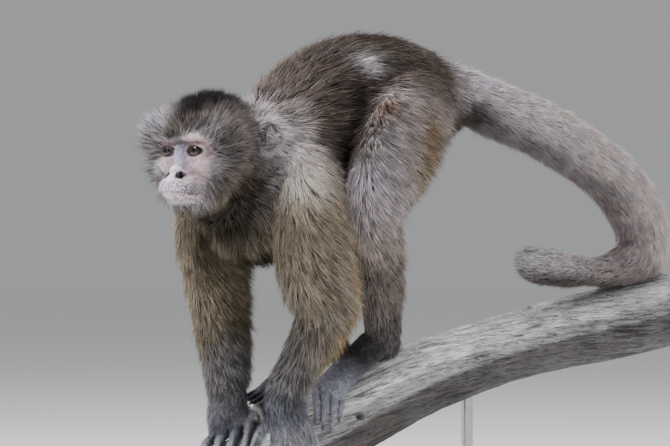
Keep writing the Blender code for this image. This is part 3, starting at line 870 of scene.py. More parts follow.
def faceFolds(h):  # small folds of the face, in mm outwards
    side, up = np.abs(h[:, 0]), h[:, 2]
    front = ramp(h[:, 1], 14, 22)
    lips = lipLine(side)
    fold = -1.3 * bell(up - lips, 0.8) * ramp(17 - side, 0, 2)
    fold += 0.5 * bell(up - lips - 2.6, 1.6) * ramp(15 - side, 0, 4)
    fold += 0.4 * bell(up - lips + 2.6, 1.6) * ramp(14 - side, 0, 4)
    x, _, z = head["eye"]
    for reach, deep in ((1.42, 0.55), (1.75, 0.4), (2.15, 0.3)):  # creases that ring the lids
        ring = np.hypot((side - x) / 7.2, (up - z) / 5.6)
        low = ramp(z + 2 - up, 0, 4) + 0.5 * ramp(up - z, 2, 5)
        fold -= deep * bell(ring - reach, 0.09) * low
    crease = side - (9.5 + (-16 - up) * 0.35)  # fold from the nose to the mouth's corner
    fold -= 0.7 * bell(crease, 1.1) * ramp(-up, 13, 18) * ramp(up, -31, -26)
    for high in (13.5, 16.5, 19.5):  # frown lines
        fold -= 0.35 * bell(up - high + 0.02 * side**2, 0.7) * ramp(16 - side, 0, 6)
    fold -= 0.5 * bell(side, 0.8) * ramp(up, -32, -29) * ramp(-up, 21, 25)
    return fold * front


def eyeFrame(side):  # an eye's own frame: forward is where it looks
    turn = Matrix.Rotation(-side * math.radians(head["eyeTurn"]), 4, "Z")
    return headPlace @ Matrix.Translation(Vector(flipped(head["eye"], side)) * mm) @ turn


def eyeOpening(side):  # an almond prism that opens the lids
    bm = bmesh.new()
    count = 36
    wide, above, below = skinShape["opening"]
    rims = []
    for depth, swell in ((2.2, 0.92), (14, 1.08)):
        rim = []
        for k in range(count):
            a = 2 * math.pi * k / count
            across = wide * math.cos(a) * swell
            high = (above if math.sin(a) > 0 else below) * math.sin(a)
            high *= (1 - 0.4 * abs(math.cos(a)) ** 3) * swell
            tilt = across * side * 0.08
            rim.append(bm.verts.new(Vector((across, depth, high + tilt)) * mm))
        rims.append(rim)
    bm.faces.new(rims[0])
    bm.faces.new(rims[1][::-1])
    for k in range(count):
        j = (k + 1) % count
        bm.faces.new((rims[0][j], rims[0][k], rims[1][k], rims[1][j]))
    bm.transform(eyeFrame(side))
    bmesh.ops.recalc_face_normals(bm, faces=bm.faces)
    return fromBm(bm)


def earShell(side):
    lean = Matrix.Rotation(math.radians(-ear["lean"] * side), 4, "Z")
    at = headPlace @ Matrix.Translation(Vector(flipped(ear["centre"], side)) * mm) @ lean
    shell = worked(ball((0, 0, 0), ear["half"], at), ("SUBSURF", {"levels": 1, "render_levels": 1}))
    hollow, fold = ((flipped(middle, side), half) for middle, half in (ear["hollow"], ear["fold"]))
    shell = combined(shell, ball(*hollow, at, 5), "DIFFERENCE")
    return combined(shell, ball(*fold, at), "UNION")


faceLook = {
    # line: painted shade in the nostrils and where the lips meet, and on the lids' rims partly their own
    # dark skin
    "base": (224, 198, 206), "line": (26, 20, 20), "root": (84, 74, 80),
    "tints": (  # place and reach in the head's own mm, shade, strength; the same on both sides
        ((0, 28, -8), (9, 20, 14), (190, 190, 226), 0.9),  # lilac bridge of the nose
        ((0, 26, 1), (6.5, 12, 6), (118, 108, 124), 0.75),  # darker between the eyes
        ((0, 37, -17), (8, 12, 7), (226, 224, 242), 0.8),  # pale tip of the nose: a painted highlight
        ((9, 28, -22), (5, 10, 6), (178, 164, 180), 0.6),  # greyer sides of the nose
        ((16, 26, -17), (12, 14, 11), (220, 182, 190), 0.7),  # pink under the eyes
        ((16, 26, 10), (9, 12, 6), (210, 178, 184), 0.8),  # pink brows
        ((0, 40, -33), (20, 14, 12), (240, 230, 250), 0.85),  # pale muzzle
        ((0, 36, -46), (20, 14, 6), (192, 188, 202), 0.7),  # greyer chin
        ((0, 28, 6.5), (6, 12, 3.4), (62, 53, 56), 0.95),  # dark frown
        ((6, 28, 4.5), (4, 12, 2.4), (66, 56, 58), 0.8),
        ((14, 26, 4.2), (9, 12, 2.2), (98, 78, 80), 0.95),  # shade under the brow
        ((24, 18, 0), (4, 10, 8), (172, 146, 146), 0.6),  # browner outer corners
        ((20, 26, -22), (8, 12, 9), (196, 166, 166), 0.6),
        ((4, 42, -38), (10, 8, 1.9), (206, 168, 172), 0.7),  # lower lip
        ((16, 31, -34.5), (6, 10, 5), (108, 96, 102), 0.75),  # dark corners of the mouth
    ),
}


def faceLines(h):  # 1 in the painted shade of the lips' line and the nostrils, and on the lids' rims, partly their dark skin and partly painted shade
    side = np.abs(h[:, 0])
    lips = bell(h[:, 2] - lipLine(side), 0.7) * ramp(17 - side, 0, 2)
    lips *= ramp(h[:, 1], 20, 26) * (0.34 + 0.4 * ramp(side, 8, 15))
    x, _, z = head["eye"]
    rim = np.hypot((side - x) / 7.6, (h[:, 2] - z) / 4.4)
    rim = ramp(1.2 - rim, 0, 0.12) * ramp(h[:, 1], 15, 20) * 0.93
    x, y, z = skinShape["nostril"]
    hole = np.sqrt((side - x) ** 2 + ((h[:, 1] - y + 1.5) / 1.7) ** 2 + (h[:, 2] - z) ** 2)
    return np.maximum(np.maximum(lips, rim), ramp(4.9 - hole, 0, 1.1))


def skinShade(found):  # the skin's colour, the coat's own shades where hair covers it
    h = found["h"]
    hand, bare = found["hand"][:, None], found["bare"][:, None]
    tone = found["dark"] * 0.58 + found["pale"] * 0.16
    tone = tone * (1 - hand) + (found["dark"] * 0.7 + found["pale"] * 0.12) * hand
    shade = np.zeros_like(tone) + linear(*faceLook["base"])
    for place, reach, tint, strength in faceLook["tints"]:
        amount = np.minimum(soft(mirrored(h), place, reach) * 1.5, 1) * strength
        shade = toward(shade, tint, amount)
    # painted shade in the nostrils, the lips' line and round the lids
    shade = toward(shade, faceLook["line"], faceLines(h))
    tone = tone * (1 - bare) + shade * bare
    q = inEar(h) / ear["half"]
    # the rim darkened, partly its own dark edge and partly painted shade
    edge = ramp(np.hypot(q[:, 0], q[:, 2]), 0.8, 0.96) * ramp(q[:, 0] + q[:, 2], -0.2, 0.5)
    shell = toward(np.zeros_like(tone) + linear(*ear["skin"]), ear["rim"], edge)
    return tone * (1 - found["ear"][:, None]) + shell * found["ear"][:, None]


def faceFreckles(found):  # how strongly dark hair roots speckle the bare face
    h = found["h"]
    side = np.abs(h[:, 0])
    mouth = bell(h[:, 2] - skinShape["mouth"], 9) * ramp(24 - side, 0, 8)
    corner = soft(mirrored(h), (15, 32, -36), (7, 12, 7))
    upper = soft(mirrored(h), (9, 40, -28), (9, 12, 6))
    return found["bare"] * np.clip(0.26 + 0.42 * mouth + 0.8 * corner + 0.5 * upper, 0, 1)


def skinFinish():
    material, tree, shader = newMaterial("skinFinish", {"Roughness": 0.6, "Specular IOR Level": 0.3})
    place = placeOn(tree)
    mottle = noiseOf(tree, place, 300.0, 4.0, 0.76, 1.2)
    speckle = noiseOf(tree, place, 1300.0, 2.0, 0.8, 1.12)
    tone = multiplied(tree, painted(tree), mottle, speckle)
    dots = spread(tree, rawNoise(tree, place, 640.0, 1.0), 0.5, 0.58, 0.0, 0.9)
    dots = maths(tree, "MULTIPLY", dots, painted(tree, "freckled"))
    tone = mixed(tree, dots, tone, socketShade(faceLook["root"]))
    tree.links.new(tone, shader.inputs["Base Color"])
    bumped(tree, shader, noiseOf(tree, place, 1500.0), 0.0004, 0.4)
    return material


body = bodySkin()
print("stage: body under the coat", len(body.polygons))
face = headSkin()
print("stage: head under the coat", len(face.polygons))
bodyCount = sum(len(f.vertices) - 2 for f in body.polygons)
body = worked(body, ("DECIMATE", {"ratio": skinShape["bodyFaces"] / bodyCount}))
skinMesh = combined(body, face, "UNION")
smoothShade(skinMesh)
skinFound = coatAt(pointsOf(skinMesh), normalsOf(skinMesh))
paint(skinMesh, "shade", skinShade(skinFound))
paint(skinMesh, "freckled", np.repeat(faceFreckles(skinFound)[:, None], 3, axis=1))
covered = (*skinShape["nodes"], "head", "ear_left", "ear_right")
finished(skinMesh, "skin", skinFinish(), "skin_dark", *covered)
print("stage: skin", len(skinMesh.polygons))


# the coat: thin closed tufts rooted all over the skin, in layers that each span the whole body

coat = {
    "tufts": 240000, "pieces": 8, "seed": 11, "rootFaces": 26000,
    "clump": 20,  # tufts that lean together into one lock
    "gather": 0.26, "jitter": 0.11, "droop": 0.08, "patch": 0.003,
    "closer": {"head": 1.8, "bare": -0.35, "ear": 1.8, "hand": 0.5},  # how much closer tufts grow
    "stand": (1.9, 0.7),  # how much of the lift a tuft has below and above its middle
    "middle": 0.38,  # where a tuft is thickest, as a share of its length
    "lengths": (0.7, 1.2), "widths": (0.8, 1.2),  # how much tufts vary
    "width": (0.029, 0.11),  # for each mm of length, and in mm to start with
    "sunk": (0.25, 0.7),  # mm under the skin, and how much more off the face
    "warmth": 0.06, "split": 0.3, "shades": (0.42, 0.85, 1.18),  # at a tuft's root, middle and tip
    "overEar": 0.45,  # what is left of the tufts that would hide an ear's hollow
}


def hairless(h):  # 1 where the face has no hair at all: lids, nose, lips
    side = np.abs(h[:, 0])
    x, _, z = head["eye"]
    ring = np.hypot((side - x) / 7.6, (h[:, 2] - z) / 5.8)
    bald = ramp(1.45 - ring, 0, 0.25) * ramp(h[:, 1], 12, 16)
    nose = np.sqrt(side**2 / 1.3 + (h[:, 1] - 38) ** 2 + (h[:, 2] + 18) ** 2)
    bald = np.maximum(bald, ramp(9 - nose, 0, 2))
    frown = np.hypot(side / 7, (h[:, 2] - 6) / 4)
    bald = np.maximum(bald, 0.6 * ramp(1.2 - frown, 0, 0.3) * ramp(h[:, 1], 12, 16))
    band = ramp(3.4 - np.abs(h[:, 2] - lipLine(side) + 0.8), 0, 1)
    band *= ramp(17 - side, 0, 2) * ramp(h[:, 1], 18, 24)
    return np.maximum(bald, band)


def unwrapped(mesh):  # an object of the mesh with its UV map
    guide = put(mesh, "guide")
    bpy.ops.object.select_all(action="DESELECT")
    guide.select_set(True)
    bpy.context.view_layer.objects.active = guide
    bpy.ops.object.mode_set(mode="EDIT")
    bpy.ops.mesh.select_all(action="SELECT")
    bpy.ops.uv.smart_project(angle_limit=math.radians(66), island_margin=0.004)
    bpy.ops.object.mode_set(mode="OBJECT")
    return guide


def rootPlaces(rng):  # where each tuft grows, and its place on the skin's own unwrap
    count = sum(len(f.vertices) - 2 for f in skinMesh.polygons)
    guide = unwrapped(worked(skinMesh, ("DECIMATE", {"ratio": coat["rootFaces"] / count})))
    mesh = guide.data
    p, n = pointsOf(mesh), normalsOf(mesh)
    found = coatAt(p, n)
    mesh.calc_loop_triangles()
    triangles = np.empty(len(mesh.loop_triangles) * 3, np.int32)
    loops = np.empty_like(triangles)
    mesh.loop_triangles.foreach_get("vertices", triangles)
    mesh.loop_triangles.foreach_get("loops", loops)
    triangles, loops = triangles.reshape(-1, 3), loops.reshape(-1, 3)
    uv = np.empty(len(mesh.loops) * 2, np.float32)
    mesh.uv_layers.active.data.foreach_get("uv", uv)
    uv = uv.reshape(-1, 2)
    thick = 1 - hairless(found["h"]) * found["head"]
    for key, closer in coat["closer"].items():
        thick = thick * (1 + closer * found[key])
    a, b, c = (p[triangles[:, k]] for k in range(3))
    area = np.linalg.norm(np.cross(b - a, c - a), axis=1) * thick[triangles].mean(axis=1)
    pick = rng.choice(len(triangles), coat["tufts"], p=area / area.sum())
    r, t = np.sqrt(rng.random(len(pick))), rng.random(len(pick))
    share = np.stack([1 - r, r * (1 - t), r * t], axis=1)[:, :, None]
    roots = (p[triangles[pick]] * share).sum(axis=1)
    places = (uv[loops[pick]] * share).sum(axis=1)
    bpy.data.objects.remove(guide)
    return roots, places


def coatRoots(rng):  # where tufts grow, with what the coat is like there
    roots, places = rootPlaces(rng)
    corners = [f.vertices[:] for f in skinMesh.polygons]
    tree = BVHTree.FromPolygons([v.co for v in skinMesh.vertices], corners)
    hits = [tree.find_nearest(Vector(r)) for r in roots]
    roots, normals = (np.array([hit[k] for hit in hits]) for k in (0, 1))
    found = {**coatAt(roots, normals), "root": roots, "normal": normals, "place": places}
    keep = hairless(found["h"]) * (found["head"] > 0.5) < 0.5
    keep &= ~((found["hand"] > 0.5) & (normals[:, 2] < -0.3))  # none on palms and soles
    return {key: value[keep] for key, value in found.items()}


def lockLeaders(rng, roots):  # for each tuft, the one that leads its lock
    leaders = rng.choice(len(roots), len(roots) // coat["clump"], replace=False)
    finder = KDTree(len(leaders))
    for k, leader in enumerate(leaders):
        finder.insert(roots[leader], k)
    finder.balance()
    return leaders[[finder.find(r)[1] for r in roots]]


def tuftShades(rng, found, leader):  # between the dark and pale hairs, partly alike in a lock
    count = len(leader)
    chance = 0.5 * rng.random(count)[leader] + 0.5 * rng.random(count)
    tone = (rng.random(count) * 0.6 + chance * 0.6) ** 1.6
    tone = tone * (1 - 0.5 * found["calm"]) + 0.42 * 0.5 * found["calm"]
    tone = np.clip(tone + (tone - 0.42) * 0.5 * found["head"], 0, 1)[:, None]
    shade = found["dark"] * (1 - tone) * 0.85 + found["pale"] * tone * 1.12
    warm = 0.5 * rng.normal(size=count)[leader] + 0.5 * rng.normal(size=count)
    warm = np.clip(warm, -0.5, 1.6) * (1 - 0.7 * found["bare"]) * (1 - 0.5 * found["head"])
    warmth = np.array((coat["warmth"], 0, -coat["warmth"]))
    return np.clip(shade * (1 + warm[:, None] * warmth), 0, 1)


def earClearing(found, points):  # less than 1 for tufts that would hide an ear's hollow
    q = inEar(inHead(points))
    over = (q[:, 1] > -1) & (q[:, 1] < 18) & (((q[:, 0] - 7) / 7) ** 2 + ((q[:, 2] - 1) / 10) ** 2 < 1)
    return np.where(over & (found["ear"] < 0.5), coat["overEar"], 1)[:, None]


def coatTufts():
    rng = np.random.default_rng(coat["seed"])
    found = coatRoots(rng)
    roots, normals, flow = found["root"], found["normal"], found["flow"]
    count = len(roots)
    rise = (flow * normals).sum(axis=1, keepdims=True)
    flow = unit(flow - normals * (rise - 0.5 * np.maximum(rise, 0)))
    lift = found["lift"][:, None]
    wild = rng.normal(size=(count, 3)) * coat["jitter"]
    wild *= 1 + 0.8 * (found["head"] * (1 - found["bare"]))[:, None]
    low, high = coat["stand"]
    start = unit(flow + normals * lift * low + wild)
    ending = unit(flow + normals * lift * high + wild * 1.6 - np.array((0, 0, coat["droop"])))
    length = found["length"] * mm * rng.uniform(*coat["lengths"], count)
    middles = roots + start * (length * coat["middle"])[:, None]
    tips = middles + ending * (length * (1 - coat["middle"]))[:, None]
    leader = lockLeaders(rng, roots)
    pull = coat["gather"] * (1 - found["bare"])[:, None]
    tips = tips + (tips[leader] - tips) * pull
    middles = middles + (middles[leader] - middles) * pull * 0.35
    short = earClearing(found, tips)
    tips, middles = roots + (tips - roots) * short, roots + (middles - roots) * short
    shade = tuftShades(rng, found, leader)
    perMm, least = coat["width"]
    width = found["length"] * perMm + least
    width *= (1 - 0.25 * found["head"]) * mm * rng.uniform(*coat["widths"], count)
    least, more = coat["sunk"]
    sunk = more * mm * (1 - found["bare"]) + least * mm
    return {
        "root": roots - start * sunk[:, None], "middle": middles, "tip": tips, "normal": normals,
        "width": width, "shade": shade, "place": found["place"], "bare": found["bare"],
        "split": rng.uniform(-coat["split"], coat["split"], count),
    }


def tuftPiece(name, tufts):  # each tuft: a root, a ring of three points and a tip
    count = len(tufts["root"])
    along = unit(tufts["tip"] - tufts["root"])
    across = unit(np.cross(along, tufts["normal"]))
    up = np.cross(across, along)
    half = tufts["width"][:, None] / 2
    ring = [tufts["middle"] + (across * a + up * b) * half for a, b in ((-1, -0.3), (1, -0.3), (0, 0.6))]
    points = np.stack([tufts["root"], *ring, tufts["tip"]], axis=1)
    corners = [(0, 2, 1), (1, 2, 4), (0, 3, 2), (2, 3, 4), (0, 1, 3), (3, 1, 4)]
    faces = (np.arange(count)[:, None, None] * 5 + np.array(corners)).reshape(-1, 3)
    mesh = fromArrays(points.reshape(-1, 3), faces)
    first, middle, last = coat["shades"]
    darken = np.array([first, middle, middle, middle, last])
    darken = darken + (1 - darken) * tufts["bare"][:, None] * 0.7
    strands = np.array([0, -1, 1, 0, 0]) * tufts["split"][:, None]  # two strands' shades in one
    shades = np.minimum(tufts["shade"][:, None, :] * (darken * (1 + strands))[:, :, None], 1)
    paint(mesh, "shade", shades.reshape(-1, 3))
    patch = coat["patch"]
    spots = np.array([(0, -0.5), (-0.5, 0), (0.5, 0), (0, 0.05), (0, 0.5)])
    places = np.clip(tufts["place"], patch, 1 - patch)[:, None, :] + spots * patch
    layer = mesh.uv_layers.new(name="OFBake")
    layer.data.foreach_set("uv", places.reshape(-1, 2)[faces.ravel()].astype(np.float32).ravel())
    finished(mesh, name, furFinish, "fur_brown")


def coatFinish():
    material, tree, shader = newMaterial("coatFinish", {"Roughness": 0.7, "Specular IOR Level": 0.03})
    place = placeOn(tree)
    locks = noiseOf(tree, place, 90.0, 3.0, 0.84, 1.16)
    broad = noiseOf(tree, place, 30.0, 2.0, 0.9, 1.1)
    tree.links.new(multiplied(tree, painted(tree), locks, broad), shader.inputs["Base Color"])
    return material


tufts = coatTufts()
furFinish = coatFinish()
for k in range(coat["pieces"]):
    tuftPiece(f"coat_{k + 1}", {key: value[k::coat["pieces"]] for key, value in tufts.items()})
print("stage: coat", len(tufts["root"]))


# eyes: a ball with a raised clear-looking front, coloured in rings

eyeLook = {
    "radius": 8.45, "bulge": 0.55, "iris": 4.5, "pupil": 1.9, "around": 96, "seed": 5,
    "surface": {
        "Roughness": 0.12, "Specular IOR Level": 0.2, "Coat Weight": 0.8, "Coat Roughness": 0.02,
    },
    # outer: the dark round the iris, partly its own ring and partly painted shade from the lids
    "white": (34, 26, 24), "outer": (16, 13, 10), "inner": (34, 27, 18), "streak": (60, 50, 33),
}


def eyeShade(angle, fibre):  # on the ball, at an angle from its front
    share = eyeLook["radius"] * math.sin(angle) - eyeLook["pupil"]
    share /= eyeLook["iris"] - eyeLook["pupil"]
    iris = linear(*eyeLook["inner"]) * (1 - fibre) + linear(*eyeLook["streak"]) * fibre
    # the iris darkens outwards: its own dark ring with painted shade from the lids
    iris = iris * (1 - ramp(share, 0.4, 0.9)) + linear(*eyeLook["outer"]) * ramp(share, 0.4, 0.9)
    edge = ramp(share, 1.0, 1.12) if angle < 1.6 else 1
    return iris * ramp(share, -0.06, 0.06) * (1 - edge) + linear(*eyeLook["white"]) * edge


def makeEye(side, name):
    bm = bmesh.new()
    around = eyeLook["around"]
    angles = np.concatenate([np.linspace(0, 0.9, 48), np.linspace(0.93, math.pi, 26)])
    rows, shades = [], []
    streaks = np.random.default_rng(eyeLook["seed"]).random(around)
    streaks = (streaks + np.roll(streaks, 1)) / 2
    for k, angle in enumerate(angles):
        out = eyeLook["radius"] + eyeLook["bulge"] * float(1 - ramp(angle, 0.42, 0.72))
        count = 1 if k in (0, len(angles) - 1) else around
        row = []
        for j in range(count):
            turn = 2 * math.pi * j / around
            place = Vector((math.cos(turn), 0, math.sin(turn))) * math.sin(angle)
            place.y = math.cos(angle)
            row.append(bm.verts.new(place * out * mm))
            shades.append(eyeShade(angle, streaks[j] if count > 1 else 0.5))
        rows.append(row)
    for a, b in zip(rows, rows[1:]):
        for j in range(around):
            i = (j + 1) % around
            quad = [a[j % len(a)], a[i % len(a)], b[i % len(b)], b[j % len(b)]]
            bm.faces.new(list(dict.fromkeys(quad)))
    bm.transform(eyeFrame(side))
    bmesh.ops.recalc_face_normals(bm, faces=bm.faces)
    mesh = fromBm(bm)
    paint(mesh, "shade", np.array(shades))
    finished(mesh, name, eyeFinish, "eye_brown", name.replace("eyeball", "eye"))


def makeEyeFinish():
    material, tree, shader = newMaterial("eyeFinish", eyeLook["surface"])
    fibres = noiseOf(tree, placeOn(tree), 1800.0, 2.0, 0.8, 1.15)
    tree.links.new(multiplied(tree, painted(tree), fibres), shader.inputs["Base Color"])
    return material


eyeFinish = makeEyeFinish()
makeEye(1, "eyeball_left")
makeEye(-1, "eyeball_right")
print("stage: eyes")


# nails: one keeled plate at the end of each digit

perchLine = (
    ((-1, -208, 68), 31), ((1, -133, 96), 33), ((0, -60, 125), 34), ((0, 33, 163), 34),
    ((1, 92, 179), 32), ((0, 151, 192), 30), ((-1, 225, 205), 32), ((0, 290, 214), 33.5),
    ((0, 353, 226), 36),
)
nailLook = {"length": 4.6, "width": 2.3, "thick": 0.8, "dark": (58, 56, 60), "pale": (148, 145, 150)}
perchRows = spline(np.array([(*place, r) for place, r in perchLine], float), 6)


def fromPerch(place):  # the way out of the branch's centre line at a place in mm
    gaps = np.asarray(place) - perchRows[:, :3]
    return Vector(gaps[np.argmin((gaps**2).sum(axis=1))])


def nailMesh(middle, tip, radius):
    along = (tip - middle).normalized()
    out = fromPerch(tip)
    out = (out - along * out.dot(along)).normalized()
    across = along.cross(out)
    columns, rows = 9, 12
    bm = bmesh.new()
    sheets = []
    for under in (0, 1):
        sheet = []
        for i in range(rows):
            t = i / (rows - 1)
            wide = nailLook["width"] * (0.86 + 0.14 * t)
            wide *= math.sqrt(max(0.06, 1 - (1.02 * t) ** 3.2 * 0.93))
            curl = radius * 0.72 - 1.5 * t**2
            row = []
            for j in range(columns):
                s = 2 * j / (columns - 1) - 1
                high = curl - 1.15 * s**2 - under * nailLook["thick"]
                centre = tip + along * (t * nailLook["length"] - 1.2)
                row.append(bm.verts.new((centre + out * high + across * (s * wide)) * mm))
            sheet.append(row)
        sheets.append(sheet)
    for sheet in sheets:
        for a, b in zip(sheet, sheet[1:]):
            for j in range(columns - 1):
                bm.faces.new((a[j], a[j + 1], b[j + 1], b[j]))
    top, low = (
        [*sheet[0], *(r[-1] for r in sheet[1:-1]), *sheet[-1][::-1], *(r[0] for r in sheet[-2:0:-1])]
        for sheet in sheets
    )
    for k in range(len(top)):
        j = (k + 1) % len(top)
        bm.faces.new((top[k], top[j], low[j], low[k]))
    bmesh.ops.recalc_face_normals(bm, faces=bm.faces)
    return fromBm(bm)


def makeNailFinish():
    material, tree, shader = newMaterial("nailFinish", {"Roughness": 0.38})
    place = placeOn(tree)
    dark, pale = socketShade(nailLook["dark"]), socketShade(nailLook["pale"])
    tree.links.new(mixed(tree, noiseOf(tree, place, 420.0), dark, pale), shader.inputs["Base Color"])
    bumped(tree, shader, noiseOf(tree, place, 2200.0, 2.0), 0.0002, 0.3)
    return material


nailFinish = makeNailFinish()
for name, place in digitPlaces.items():
    thumb, radius = place[-2:]
    plates = [nailMesh(Vector(thumb[1]), Vector(thumb[2]), radius)]
    plates += [nailMesh(middle, tip, radius) for _, middle, tip in digitLines(name)]
    finished(joinedMeshes(plates), f"nails_{name}", nailFinish, "skin_dark")
print("stage: nails")


# perch: bare grey weathered wood with long cracks, knots and scraped places

perchLook = {
    "voxel": 1.5, "twist": 0.004,  # in mm, and how far the grain turns for each mm along
    "grey": (118, 116, 120), "pale": (249, 251, 255), "tan": (132, 116, 102), "end": (206, 203, 204),
    "crack": (40, 34, 29), "brown": (122, 114, 112),
    "grooves": (  # along the grain: their noise's shift and scale, width, depth in mm, least opening
        (9, 0.10, 0.11, 1.2, -0.25), (31, 0.22, 0.12, 0.5, -0.3),
    ),
    "lines": ((190.0, 0.02), (430.0, 0.028), (900.0, 0.04)),  # thin painted cracks: scale, width
    "knots": (  # place, size, height, 1 if it has a hollow
        ((31.5, 107, 184), 3.4, 4.5, 0), ((32, -40, 141), 6, 1.8, 1), ((2, 186, 229), 3, 0.5, 1),
        ((16, 268, 241), 3, 0.5, 1), ((32, 276, 223), 4, 1.4, 0), ((-30, 20, 150), 9, 1.4, 1),
        ((-20, 250, 190), 8, 1.4, 1),
    ),
}


def shadeRoundDigits(p):  # 1 where digits grip the wood: painted shade round them
    found = np.zeros(len(p))
    for name, place in digitPlaces.items():
        for line in digitLines(name):
            for a, b in zip(line, line[1:]):
                found = np.maximum(found, ramp(place[-1] + 4 - gapTo(p, a, b), 0, 3.5))
    return found


def woodFound(p, n):  # what each point of the wood is like
    line = perchRows[:, :3]
    share = np.concatenate([[0], np.cumsum(np.linalg.norm(np.diff(line, axis=0), axis=1))])
    order = np.argmin(((p[:, None, 1:] - line[None, :, 1:]) ** 2).sum(axis=2), axis=1)
    heading = unit(np.gradient(line, axis=0))[order]
    gap = p - line[order]
    along = share[order] + (gap * heading).sum(axis=1)
    across, up = gap[:, 0], (gap * np.cross((1, 0, 0), heading)).sum(axis=1)
    twist = along * perchLook["twist"]
    x, z = across * np.cos(twist) - up * np.sin(twist), across * np.sin(twist) + up * np.cos(twist)
    rings = 0.72 + 0.28 * np.sin(np.hypot(across, up) * 2.2 + 2 * np.sin(np.arctan2(up, across) * 3))
    return {
        "p": p, "n": n, "grain": np.stack([x, z, along * 0.045], axis=1), "rings": rings,
        "end": np.abs((n * heading).sum(axis=1)), "top": ramp(n[:, 2], -0.15, 0.6),
    }


def woodRelief(wood):  # how far the wood stands out, in mm, and 1 in the knots' hollows
    grain, hollows = wood["grain"], np.zeros(len(wood["p"]))
    relief = 0.8 * noiseAt(grain, (0.08, 0.08, 0.24)) + 0.45 * noiseAt(grain, 0.35)
    opened = noiseAt(grain, (0.06, 0.06, 0.5), (0, 0, 7))
    for shift, scale, wide, deep, least in perchLook["grooves"]:
        off = np.abs(noiseAt(grain, scale, (shift, 4, 2)))
        relief -= deep * np.maximum(wide - off, 0) / wide * ramp(opened, least, 0.1)
    relief *= 1 - ramp(wood["end"], 0.5, 0.8)
    for place, size, height, hollow in perchLook["knots"]:
        away = np.linalg.norm((wood["p"] - np.array(place)) / np.array((1, 1.3, 1)), axis=1) / size
        if hollow:
            relief += height * bell(away - 0.9, 0.35) - 2.6 * bell(away, 0.5)
            hollows = np.maximum(hollows, np.exp(-((away / 0.62) ** 4)))
        else:
            relief += height * ramp(1.2 - away, 0, 0.45)
    return relief, hollows


def woodShade(wood, relief, hollows):
    p, n, top = wood["p"], wood["n"], wood["top"]
    scraped = ramp(noiseAt(wood["grain"], (0.09, 0.09, 0.6)), 0.22, 0.45)
    scraped *= ramp(-n[:, 2], -0.1, 0.5) * ramp(-p[:, 1], -60, 40)
    low = np.maximum(ramp(-relief, 0.3, 1.5) * 0.8, hollows)
    cut = ramp(wood["end"], 0.6, 0.85)[:, None]
    # pale on top and darker on the sides: painted light and shade
    tone = toward(linear(*perchLook["grey"]) * 0.72, perchLook["pale"], top)
    tone = toward(tone, perchLook["tan"], scraped * 0.7)
    tone = toward(tone, perchLook["crack"], low * 0.85)
    tone = tone * (1 - cut) + linear(*perchLook["end"]) * wood["rings"][:, None] * cut
    # painted shade on the top from y 190 mm on, under the tail's curl, and round the gripping digits
    return tone * ((1 - 0.42 * ramp(p[:, 1], 190, 260) * top) * (1 - 0.5 * shadeRoundDigits(p)))[:, None]


def perchShape():
    plain, voxel = nodes["perch_branch"].data, perchLook["voxel"] * mm
    mesh = worked(plain, ("REMESH", {"mode": "VOXEL", "voxel_size": voxel}),
                  ("SMOOTH", {"factor": 0.5, "iterations": 5}))
    wood = woodFound(pointsOf(mesh) / mm, normalsOf(mesh))
    relief, hollows = woodRelief(wood)
    setPoints(mesh, (wood["p"] + wood["n"] * relief[:, None]) * mm)
    layer = mesh.attributes.new("grain", "FLOAT_VECTOR", "POINT")
    layer.data.foreach_set("vector", (wood["grain"] * mm).astype(np.float32).ravel())
    paint(mesh, "shade", woodShade(wood, relief, hollows))
    return mesh


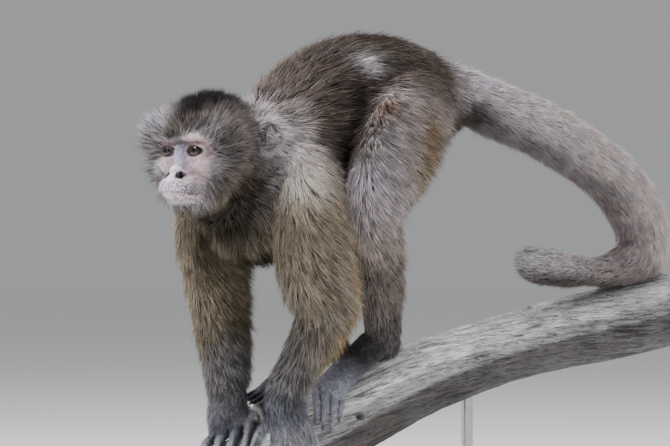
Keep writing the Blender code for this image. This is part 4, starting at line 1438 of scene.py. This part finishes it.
def perchFinish():
    surface = {"Roughness": 0.85, "Specular IOR Level": 0.25}
    material, tree, shader = newMaterial("perchFinish", surface)
    grain = node(tree, "ShaderNodeAttribute", attribute_name="grain").outputs["Vector"]
    streak = noiseOf(tree, grain, 1500.0, 4.0, 0.68, 1.34)
    broad = noiseOf(tree, grain, 300.0, 3.0, 0.76, 1.26)
    patches = noiseOf(tree, placeOn(tree), 34.0, 4.0, 0.7, 1.3)
    tone = multiplied(tree, painted(tree), streak, broad, patches)
    warm = noiseOf(tree, grain, 150.0, 3.0, 0.0, 0.28)
    tone = mixed(tree, warm, tone, socketShade(perchLook["brown"]))
    for scale, wide in perchLook["lines"]:  # where noise crosses its middle
        off = maths(tree, "SUBTRACT", rawNoise(tree, grain, scale, 3.0), 0.5)
        line = spread(tree, maths(tree, "ABSOLUTE", off), 0.0, wide, 0.75, 0.0)
        tone = mixed(tree, line, tone, socketShade(perchLook["crack"]))
    tree.links.new(tone, shader.inputs["Base Color"])
    bumped(tree, shader, streak, 0.0014, 0.8)
    return material


perchMesh = perchShape()
finished(perchMesh, "perch_weathered", perchFinish(), "weathered_wood", "perch_branch")
print("stage: perch", len(perchMesh.polygons))


# stand: varnished dark plinth and brushed steel rods, on the CAD pieces themselves

standLook = {"dark": (38, 24, 17), "red": (78, 50, 34), "steel": (0.56, 0.57, 0.58, 1)}


def stretched(tree, *scale):  # places drawn out, so that noise runs one way
    made = node(tree, "ShaderNodeMapping", Scale=scale)
    tree.links.new(placeOn(tree), made.inputs["Vector"])
    return made.outputs["Vector"]


def plinthFinish():
    surface = {"Roughness": 0.34, "Coat Weight": 0.5, "Coat Roughness": 0.18}
    material, tree, shader = newMaterial("plinthFinish", surface)
    grain = noiseOf(tree, stretched(tree, 1, 0.06, 1), 260.0, 6.0)
    dark, red = socketShade(standLook["dark"]), socketShade(standLook["red"])
    tree.links.new(mixed(tree, grain, dark, red), shader.inputs["Base Color"])
    bumped(tree, shader, grain, 0.0003, 0.3)
    return material


def rodFinish():
    material, tree, shader = newMaterial("rodFinish", {"Metallic": 1.0})
    brushed = stretched(tree, 0.2, 0.2, 8)
    lines = noiseOf(tree, brushed, 500.0, 3.0, 0.85, 1.05)
    tree.links.new(multiplied(tree, standLook["steel"], lines), shader.inputs["Base Color"])
    tree.links.new(noiseOf(tree, brushed, 400.0, 2.0, 0.28, 0.42), shader.inputs["Roughness"])
    return material


dress(nodes["stand_base"].data, plinthFinish())
steelFinish = rodFinish()
for name in ("stand_rod_front", "stand_rod_rear"):
    dress(nodes[name].data, steelFinish)
print("stage: stand")
